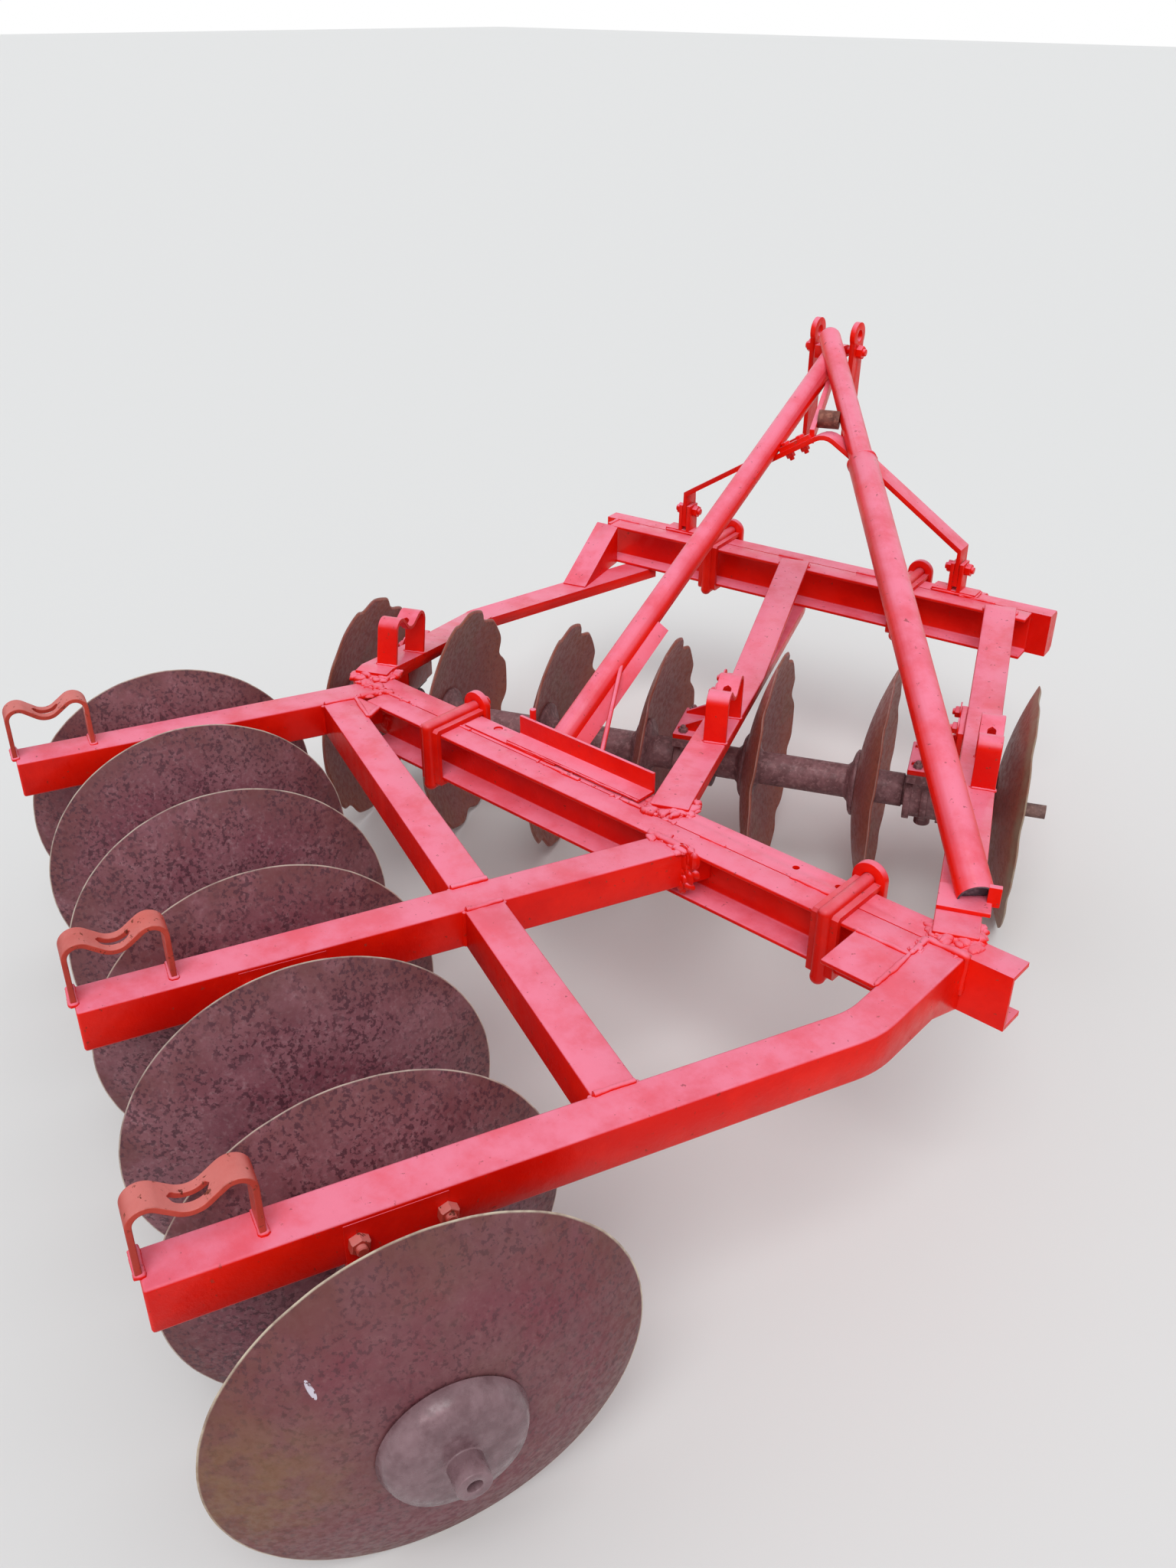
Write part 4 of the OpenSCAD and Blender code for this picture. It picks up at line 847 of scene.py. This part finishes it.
# %% Bars and gussets
def bar(x0, x1, y0, y1, z0, z1, place):
    """A box between those sides."""
    corners = [[x, y, z] for x in (x0, x1) for y in (y0, y1) for z in (z0, z1)]
    return in_beam(corners, place), [(0, 1, 3, 2), (4, 6, 7, 5), (0, 4, 5, 1),
                                     (2, 3, 7, 6), (0, 2, 6, 4), (1, 5, 7, 3)]


def web(x0, x1, y, z0, z1, z2, place):
    """A gusset 8 mm thick: level foot, sloped top."""
    outline = [(x0, z0), (x1, z0), (x1, z1), (x0, z2)]
    corners = [[x, y + d, z] for d in (-4, 4) for x, z in outline]
    return in_beam(corners, place), [(3, 2, 1, 0), (4, 5, 6, 7), (0, 1, 5, 4),
                                     (1, 2, 6, 5), (2, 3, 7, 6), (3, 0, 4, 7)]


# %% Rear hanger strips
PAD_TOP, PAD_HALF, HOUSING_HALF, HANGER_T, STRIP_T = 74.0, 65.0, 42.0, 12.0, 0.6
PLATE_TOP, STRIP_TOP, GUSSET_TOP = 150.0, 214.0, 135.0
parts = []
for x in REAR_ARMS:
    face, end = x + REAR_HALF, x + REAR_SHIFT + HOUSING_HALF
    skin = face + STRIP_T
    parts += [bar(face - 0.4, skin, -PAD_HALF, PAD_HALF, PLATE_TOP - 1, STRIP_TOP, REAR),
              bar(skin - HANGER_T, skin, -PAD_HALF, PAD_HALF, PAD_TOP, PLATE_TOP, REAR),
              bar(face, end, -PAD_HALF, PAD_HALF, PAD_TOP, PAD_TOP + HANGER_T, REAR)]
    parts += [web(face + 1, end - 6, s * 0.6 * PAD_HALF, PAD_TOP + 6, PAD_TOP + 18,
                  GUSSET_TOP, REAR) for s in (-1, 1)]
rounded(joined("rear_hanger_strips", parts, node="rear_hangers"), 0.25)

# %% Tab beside the open end of the right stay
TAB = turned_frame([616, 134, 0], FRONT_ANGLE)
rounded(joined("stay_foot_tab", [bar(-11, 9, -5, 5, 508, 544, TAB)]), 1.0)

# %% [markdown]
# The seams are the lines where one bar ends on another. Their places follow
# from the same sizes as the bars: the arms' centre lines, their half width,
# and the beam's edges.

# %% Seams of the rear frame
TAN_REAR = math.tan(REAR_ANGLE)
SKEW = REAR_HALF / math.cos(REAR_ANGLE)
SEAM_FOOT, ROOT_BEND_Y = 432.0, -225
CORNER_L, OVERHANG_W = 90, 92
BRACE_Y, BRACE_HALF = 317, 33.0
BRACE = (BRACE_Y - BRACE_HALF, BRACE_Y + BRACE_HALF)


def reach(i, y):
    """Where rear arm i's centre line crosses the level line at that y."""
    p = in_beam([REAR_ARMS[i], 0, 0], REAR)
    return p[0] + TAN_REAR * (y - p[1])


def upright(x, y, top=TOP):
    """A seam down the corner between an arm and the beam."""
    return [[x, y, top], [x, y, SEAM_FOOT]]


ROOT_LEFT = reach(2, ROOT_BEND_Y) - REAR_HALF
ROOT_RIGHT = ROOT_LEFT + 2 * REAR_HALF
LEFT_ARM_FRONT, LEFT_ARM_BACK = reach(0, 0) + SKEW, reach(0, -CHANNEL) + SKEW
ROOTS = [(reach(0, 0.0), 0.0), (reach(1, -CHANNEL), -CHANNEL)]
beads = []
for i, (x, y) in enumerate(ROOTS):
    beads.append(bead([[x - SKEW, y, TOP], [x + SKEW, y, TOP]], 6.5, 100 + i))
    beads += [bead(upright(x + s * SKEW, y), 4.5, 105 + i + s) for s in (-1, 1)]
beads += [
    bead([[LEFT_ARM_FRONT, 0, TOP], [LEFT_ARM_BACK, -CHANNEL, TOP]], 5.5, 109),
    bead(upright(LEFT_ARM_BACK, -CHANNEL, 498), 4.5, 110),
    bead([[ROOT_LEFT, -CHANNEL, TOP], [ROOT_LEFT, 0, TOP], [ROOT_RIGHT, 0, TOP],
          [ROOT_RIGHT, -2, 430]], 5.5, 111),
    bead(upright(ROOT_LEFT, -CHANNEL, 498), 4.5, 112)]
for k, x in enumerate((REAR_ARMS[0] + REAR_HALF, REAR_ARMS[1] - REAR_HALF,
                       REAR_ARMS[1] + REAR_HALF, REAR_ARMS[2] - REAR_HALF)):
    beads.append(bead([[x, BRACE[0], 220], [x, BRACE[1], 220]], 5.0, 120 + k, REAR))
    beads += [bead([[x, y, 219], [x, y, 152]], 4.0, 130 + k, REAR) for y in BRACE]
for k, (a, b) in enumerate(((-640, -575), (-470, -400), (-215, -120), (-20, 60),
                            (150, 205), (330, 420))):
    beads.append(bead([[a, 0, TOP], [b, 0, TOP]], 3.6, 140 + k))
joined("rear_frame_welds", beads)


# %% Weld lumps
def lumps(path, count, scatter, size, seed, place=BEAM, flat=(1, 1, 0.6)):
    """Blobs of weld metal scattered along a path: each is a ball of 10 by 7
    points whose radius wobbles with the turn; flat is its stretch along each
    axis, which keeps it low on the face that carries it."""
    rng = np.random.default_rng(seed)
    line = in_beam(path, place)
    turn = np.linspace(0, 2 * np.pi, 10, endpoint=False)
    rise = np.linspace(0.12, np.pi - 0.12, 7)[:, None]
    ball = np.stack(np.broadcast_arrays(np.sin(rise) * np.cos(turn), np.sin(rise) * np.sin(turn),
                                        np.cos(rise)), -1)
    faces = tube_faces(7, 10, capped=True)
    blobs = []
    for s in rng.uniform(0, distances(line)[-1], count):
        centre = points_at(line, s) + rng.normal(0, 1, 3) * scatter
        radius = size * rng.uniform(0.45, 1.0)
        wobble = 1 + 0.22 * np.sin(3 * turn + rng.uniform(0, 6)) * np.sin(rise)
        stretch = rng.uniform(0.8, 1.7, 3) * flat
        points = centre + ball * wobble[..., None] * radius * stretch
        blobs.append((points.reshape(-1, 3), faces))
    return blobs


ROOT_Z = 243.0
blobs = []
for i, (x, y) in enumerate(ROOTS):
    blobs += lumps([[x - SKEW, y, TOP], [x + SKEW, y, TOP]], 30, [6, 6, 0.8], 9.0, 400 + i)
    blobs += lumps([[x + SKEW + 2, y - 3, 494], [x + SKEW - 1, y - 3, SEAM_FOOT]], 70,
                   [7, 1.5, 3], 7.5, 410 + i, flat=(1.3, 0.6, 1.5))
blobs += lumps([[LEFT_ARM_FRONT, 0, TOP], [LEFT_ARM_BACK, -CHANNEL, TOP]], 14, [4, 4, 0.8],
               7.0, 420)
blobs += lumps([[ROOT_LEFT, -CHANNEL, TOP], [ROOT_LEFT, -2, TOP], [ROOT_RIGHT, 0, TOP]], 20,
               [4, 4, 0.8], 6.0, 421)
for k, (x, back) in enumerate(zip(FRONT_ARMS, FRONT_ENDS)):
    left, right = x - FRONT_HALF, x + FRONT_HALF
    blobs += lumps([[left, back, ROOT_Z], [right, back, ROOT_Z]], 34, [4, 9, 2.0], 11.0,
                   430 + k, FRONT)
    blobs += lumps([[right, back, ROOT_Z], [right, back + 50, 240]], 18, [4, 6, 2.0], 9.0,
                   440 + k, FRONT)
    blobs += lumps([[left, back, ROOT_Z], [left, back + 30, 241]], 10, [3, 5, 1.5], 8.0,
                   444 + k, FRONT)
blobs += lumps([[-640, 0, TOP], [-560, 0, TOP]], 9, [9, 2, 0.4], 4.0, 450)
blobs += lumps([[-215, 0, TOP], [110, 0, TOP]], 26, [9, 2, 0.4], 4.5, 451)
joined("weld_lumps", blobs)


# %% Plates' seams and saddle feet
def foot_ring(x0, x1, y0, y1, z):
    """A closed path round a foot."""
    return [[x0, y0, z], [x1, y0, z], [x1, y1, z], [x0, y1, z], [x0, y0, z]]


near, far = in_beam([[REAR_ARMS[0] + REAR_HALF + along, BRACE[1], TOP - REAR_R]
                     for along in (0, CORNER_L)], REAR)
beads = [
    bead([[ROOT_LEFT - OVERHANG_W, -CHANNEL, TOP], [ROOT_LEFT, -CHANNEL, TOP],
          [ROOT_LEFT, -149, TOP]], 4.0, 201),
    bead([near, far, [far[0] - 18, -CHANNEL, TOP]], 4.0, 202),
    bead([[LEFT_ARM_BACK, -CHANNEL, TOP], near], 4.0, 203)]
for k, x in enumerate(REAR_ARMS):
    left = x + REAR_SADDLE_X - SADDLE_W / 2
    beads += [bead(foot_ring(left, left + SADDLE_W, y, y + SADDLE_T, 220.5), 3.2, 210 + k * 2,
                   REAR) for y in (REAR_SADDLE_Y, REAR_SADDLE_Y + 2 * SADDLE_MID)]
for k, (x, y, fall) in enumerate(zip(FRONT_ARMS, FRONT_SADDLE_Y, FRONT_FALLS)):
    cos_a, sin_a = lean(fall)
    left = x + FRONT_SADDLE_X - SADDLE_W / 2
    for foot in (FRONT_FOOT, FRONT_FOOT + 2 * SADDLE_MID):
        ring = np.array(foot_ring(left, left + SADDLE_W, foot, foot + SADDLE_T, 0.5))
        tilted = np.stack([ring[:, 0], y + ring[:, 1] * cos_a,
                           FRONT_ARM_TOP - fall * y - ring[:, 1] * sin_a + 0.5], 1)
        beads.append(bead(tilted, 2.6, 230 + k, FRONT))
joined("plate_and_saddle_welds", beads)

# %% Seams of the front arms
beads = []
for k, (x, back) in enumerate(zip(FRONT_ARMS, FRONT_ENDS)):
    left, right = x - FRONT_HALF, x + FRONT_HALF
    beads.append(bead([[left, back + 16, ROOT_Z], [left, back, ROOT_Z], [right, back, ROOT_Z],
                       [right, back + 30, ROOT_Z]], 5.0, 250 + k, FRONT))
for k, x in enumerate(FRONT_ARMS[1:]):
    left, right = x - FRONT_HALF, x + FRONT_HALF
    p = (in_beam([x, 0, 0], FRONT) - HITCH[0]) @ HITCH[1].T
    meet = (-CHANNEL - p[1]) / math.cos(FRONT_ANGLE - HITCH_ANGLE)
    beads.append(bead([[left, meet + 8, ROOT_Z], [left, meet + 22, ROOT_Z],
                       [right, meet + 22, ROOT_Z], [right, meet + 2, ROOT_Z]], 4.5, 260 + k,
                      FRONT))
    beads.append(bead([[left, 110, 186], [right, 110, 186]], 4.0, 262 + k, FRONT))
for k, (a, b) in enumerate(((-560, -500), (-330, -250), (-90, -20), (120, 200), (380, 470))):
    beads.append(bead([[a, 0, 0], [b, 0, 0]], 3.4, 270 + k, HITCH))
beads.append(bead([[-565, -CHANNEL, -1], [-565, 0, 0]], 4.0, 280, HITCH))
joined("front_arm_welds", beads)


# %% Seams of the mast, stays and angle iron
def circle_on(middle, axis, radius, count):
    """A ring of points round a middle, square to the axis."""
    first, second = square_to(axis)
    turn = np.linspace(0, 2 * np.pi, count)[:, None]
    return middle + radius * (np.cos(turn) * first + np.sin(turn) * second)


SLEEVE_END, STRAP_X, EAR_X = 0.705, 366, (412.5, 392.5)
sleeve_end = RIGHT_FOOT + SLEEVE_END * (RIGHT_HEAD - RIGHT_FOOT)
beads = [bead(circle_on(sleeve_end, RIGHT_AXIS, 27, 28), 4.5, 301)]
foot_at = LEFT_FOOT + LEFT_AXIS * (CHANNEL - LEFT_FOOT[1]) / LEFT_AXIS[1]
around = circle_on(np.zeros(3), LEFT_AXIS, 24.0, 32)
seam = foot_at + around - LEFT_AXIS * (around[:, 1:2] / LEFT_AXIS[1])
seam[:, 1] = CHANNEL + 1
beads.append(bead(seam[seam[:, 2] > 492], 5.0, 302))
beads.append(bead([[-314, 8, 505], [10, 8, 505]], 2.6, 311))
beads.append(bead([[-310, 51, 504], [8, 51, 504]], 2.6, 354))
for k, s in enumerate((-1, 1)):
    beads.append(bead(foot_ring(s * STRAP_X - 53, s * STRAP_X + 53, 1, 42, 1.5), 3.2, 310 + k,
                      HITCH))
    beads += [bead([[s * x, CHANNEL + 1, z] for x in EAR_X], 4.5, 314 + k, HITCH)
              for z in (-14.0, -86.0)]
    beads.append(bead([[s * EAR_X[0], CHANNEL + 1, z] for z in (-12, -88)], 4.5, 318 + k, HITCH))
joined("mast_welds", beads)

# %% [markdown]
# ## Bolts and nuts
#
# A bolt head or nut is a six-sided ring with a rounded top. It is worked out
# in its own frame, along z, and then turned onto its axis, so one profile
# serves every size and direction.

# %% Hex heads
def along_axis(points, at, axis):
    """Turns points from z onto the axis and moves them to the place."""
    first, second = square_to(axis)
    return at - points[:, :1] * first - points[:, 1:2] * second + points[:, 2:] * axis


def revolved(profile, sides, turn=0.0):
    """Rings of a profile of (radius, height) round z, closed at both ends."""
    angle = np.linspace(0, 2 * np.pi, sides, endpoint=False) + turn
    r, z = np.asarray(profile, float)[:, :, None].transpose(1, 0, 2)
    rings = np.stack(np.broadcast_arrays(r * np.cos(angle), r * np.sin(angle), z), -1)
    return rings.reshape(-1, 3), tube_faces(len(profile), sides, capped=True)


def hex_head(place, at, axis, flats, height, stud, turn, washer=False):
    """Washer, hexagon with a chamfered top, and the stud's round end. flats is
    the width from one flat side to the other."""
    r, w, s, base = flats / math.sqrt(3), flats * 0.98, flats * 0.31, 2.6 * washer
    top = base + height
    forms = []
    if washer:
        forms.append(revolved([(w * 0.6, 0), (w * 0.98, 0), (w, 0.6), (w, 2.4), (w * 0.97, 3.0),
                               (w * 0.3, 3.0)], 28))
    forms.append(revolved([(r * 0.9, base), (r, base + 0.8), (r, base + height * 0.82),
                           (r * 0.86, top)], 6, turn))
    if stud:
        forms.append(revolved([(s, base), (s, top + stud - 1.5), (s * 0.8, top + stud)], 20))
    at, axis = in_beam(at, place), unit(np.asarray(axis, float) @ place[1])
    return [(along_axis(points, at, axis), faces) for points, faces in forms]


# %% Painted shade plug in the open end of the right stay
# A dark grey plug a few millimetres inside the tube is painted shade for its open end.
PLUG_AT, FOOT_PLATE_Z = 7.0, 515.4
plug, plug_faces = revolved(
    [(4, 0), (STAY_BORE * 0.6, 0.5), (STAY_BORE, 1.5), (STAY_BORE, 6), (4, 6)], 32)
plug = along_axis(plug, RIGHT_FOOT + RIGHT_AXIS * PLUG_AT, RIGHT_AXIS)
plug[:, 2] = np.maximum(plug[:, 2], FOOT_PLATE_Z)
joined("stay_end_shade_plug", [(plug, plug_faces)], DARK_SHADE)

# %% Clamp nuts and hanger bolts
nuts = []
for place, xs, top in ((BEAM, (-455, 436), TOP), (HITCH, (-258, 258), 0)):
    for k, x in enumerate(xs):
        for z in (top + 10, top - 110):
            nuts += hex_head(place, [x, 77, z], (0, 1, 0), 34, 13, 8, 0.3 * k + 0.2)
joined("clamp_nuts", nuts, CLAMP_RED)
bolts = []
for x in REAR_ARMS:
    for y in (-49.0, 61.0):
        bolts += hex_head(REAR, [x + REAR_HALF + STRIP_T - 0.5, y, 184], (1, 0, 0), 24, 13, 7, 0.4)
        bolts += hex_head(REAR, [x - REAR_HALF, y, 184], (-1, 0, 0), 24, 12, 6, 0.1, True)
joined("rear_hanger_bolts", bolts, SADDLE_RED)

# %% Front hanger bolts and pad bolts
bolts = []
for x, fall in zip(FRONT_ARMS, FRONT_FALLS):
    for y, rise in ((-40.0, 40.0 * fall), (40.0, 0.0)):
        bolts += hex_head(FRONT, [x - FRONT_HALF - 12, y, FRONT_ARM_TOP + rise - 13.0],
                          (-1, 0, 0), 22, 10, 5, 0.3, True)
joined("front_hanger_bolts", bolts)
bolts = []
for place, arms, shift in ((REAR, REAR_ARMS, REAR_SHIFT), (FRONT, FRONT_ARMS, -FRONT_SHIFT)):
    for x in arms:
        for y in (-50.0, 50.0):
            for dx in (-22.0, 22.0):
                at = [x + shift + dx, y, PAD_TOP + HANGER_T]
                bolts += hex_head(place, at, (0, 0, 1), 18, 9, 6, 0.2)
joined("pad_bolts", bolts, CAST, slot="rusty_cast_iron")

# %% Yoke bolts
YOKE_LEFT, YOKE_RIGHT, YOKE_SLOPE, YOKE_HALF_T = 0.738, 0.7495, math.radians(32), 5.0
left_end = LEFT_FOOT + YOKE_LEFT * (LEFT_HEAD - LEFT_FOOT)
level = RIGHT_FOOT + YOKE_RIGHT * (RIGHT_HEAD - RIGHT_FOOT) - left_end
YOKE = turned_frame(left_end, math.atan2(level[1], level[0]))
normal = np.array([-math.sin(YOKE_SLOPE), 0.0, math.cos(YOKE_SLOPE)])
bolts = []
for x in (42.0, 74.0):
    on_line = np.array([x, 0.0, -38.5 + x * math.tan(YOKE_SLOPE)])
    bolts += hex_head(YOKE, on_line + normal * (YOKE_HALF_T + 10), normal, 17, 7, 0, 0.3)
    bolts += hex_head(YOKE, on_line - normal * YOKE_HALF_T, -normal, 17, 9, 6, 0.1)
joined("yoke_bolts", bolts)

# %% [markdown]
# ## Floor and light
#
# The floor is one pale sheet, wide enough to reach the horizon. An overcast
# sky is copied by an even world light and one very wide sun, so shadows are
# soft and tops are brighter than sides.

# %% Floor
FLOOR_HALF, FLOOR_Z = 60, -0.0005
floor_mesh = bpy.data.meshes.new("pale floor")
floor_mesh.from_pydata([(x * FLOOR_HALF, y * FLOOR_HALF, FLOOR_Z)
                        for x, y in ((-1, -1), (1, -1), (1, 1), (-1, 1))], [], [(0, 1, 2, 3)])
floor_mesh.materials.append(start_material("pale floor", (0.8, 0.8, 0.79), Roughness=0.9,
                                           Specular_IOR_Level=0.1).material)
floor = add_object("pale_floor", floor_mesh)
print("floor:", 2 * FLOOR_HALF, "m wide")

# %% World and sun
world = bpy.data.worlds.new("overcast sky")
scene.world = world
world.use_nodes = True
tree = world.node_tree
tree.nodes.clear()
sky = put(tree, "ShaderNodeBackground", Color=(0.95, 0.97, 1.0), Strength=0.6)
white = put(tree, "ShaderNodeBackground", Color=(1.0, 1.0, 1.0), Strength=1.0)
rays = put(tree, "ShaderNodeLightPath").outputs
seen = put(tree, "ShaderNodeMath", {0: rays["Is Camera Ray"], 1: rays["Is Glossy Ray"]},
           operation="MAXIMUM")
both = put(tree, "ShaderNodeMixShader",
           {0: seen.outputs[0], 1: sky.outputs[0], 2: white.outputs[0]})
put(tree, "ShaderNodeOutputWorld", {0: both.outputs[0]})

sun = add_object("veiled_sun", bpy.data.lights.new("veiled sun", "SUN"))
sun.data.energy, sun.data.angle = 1.5, math.radians(40)
sun.rotation_euler = (math.radians(27), math.radians(22), 0)
scene.view_settings.view_transform = "Standard"
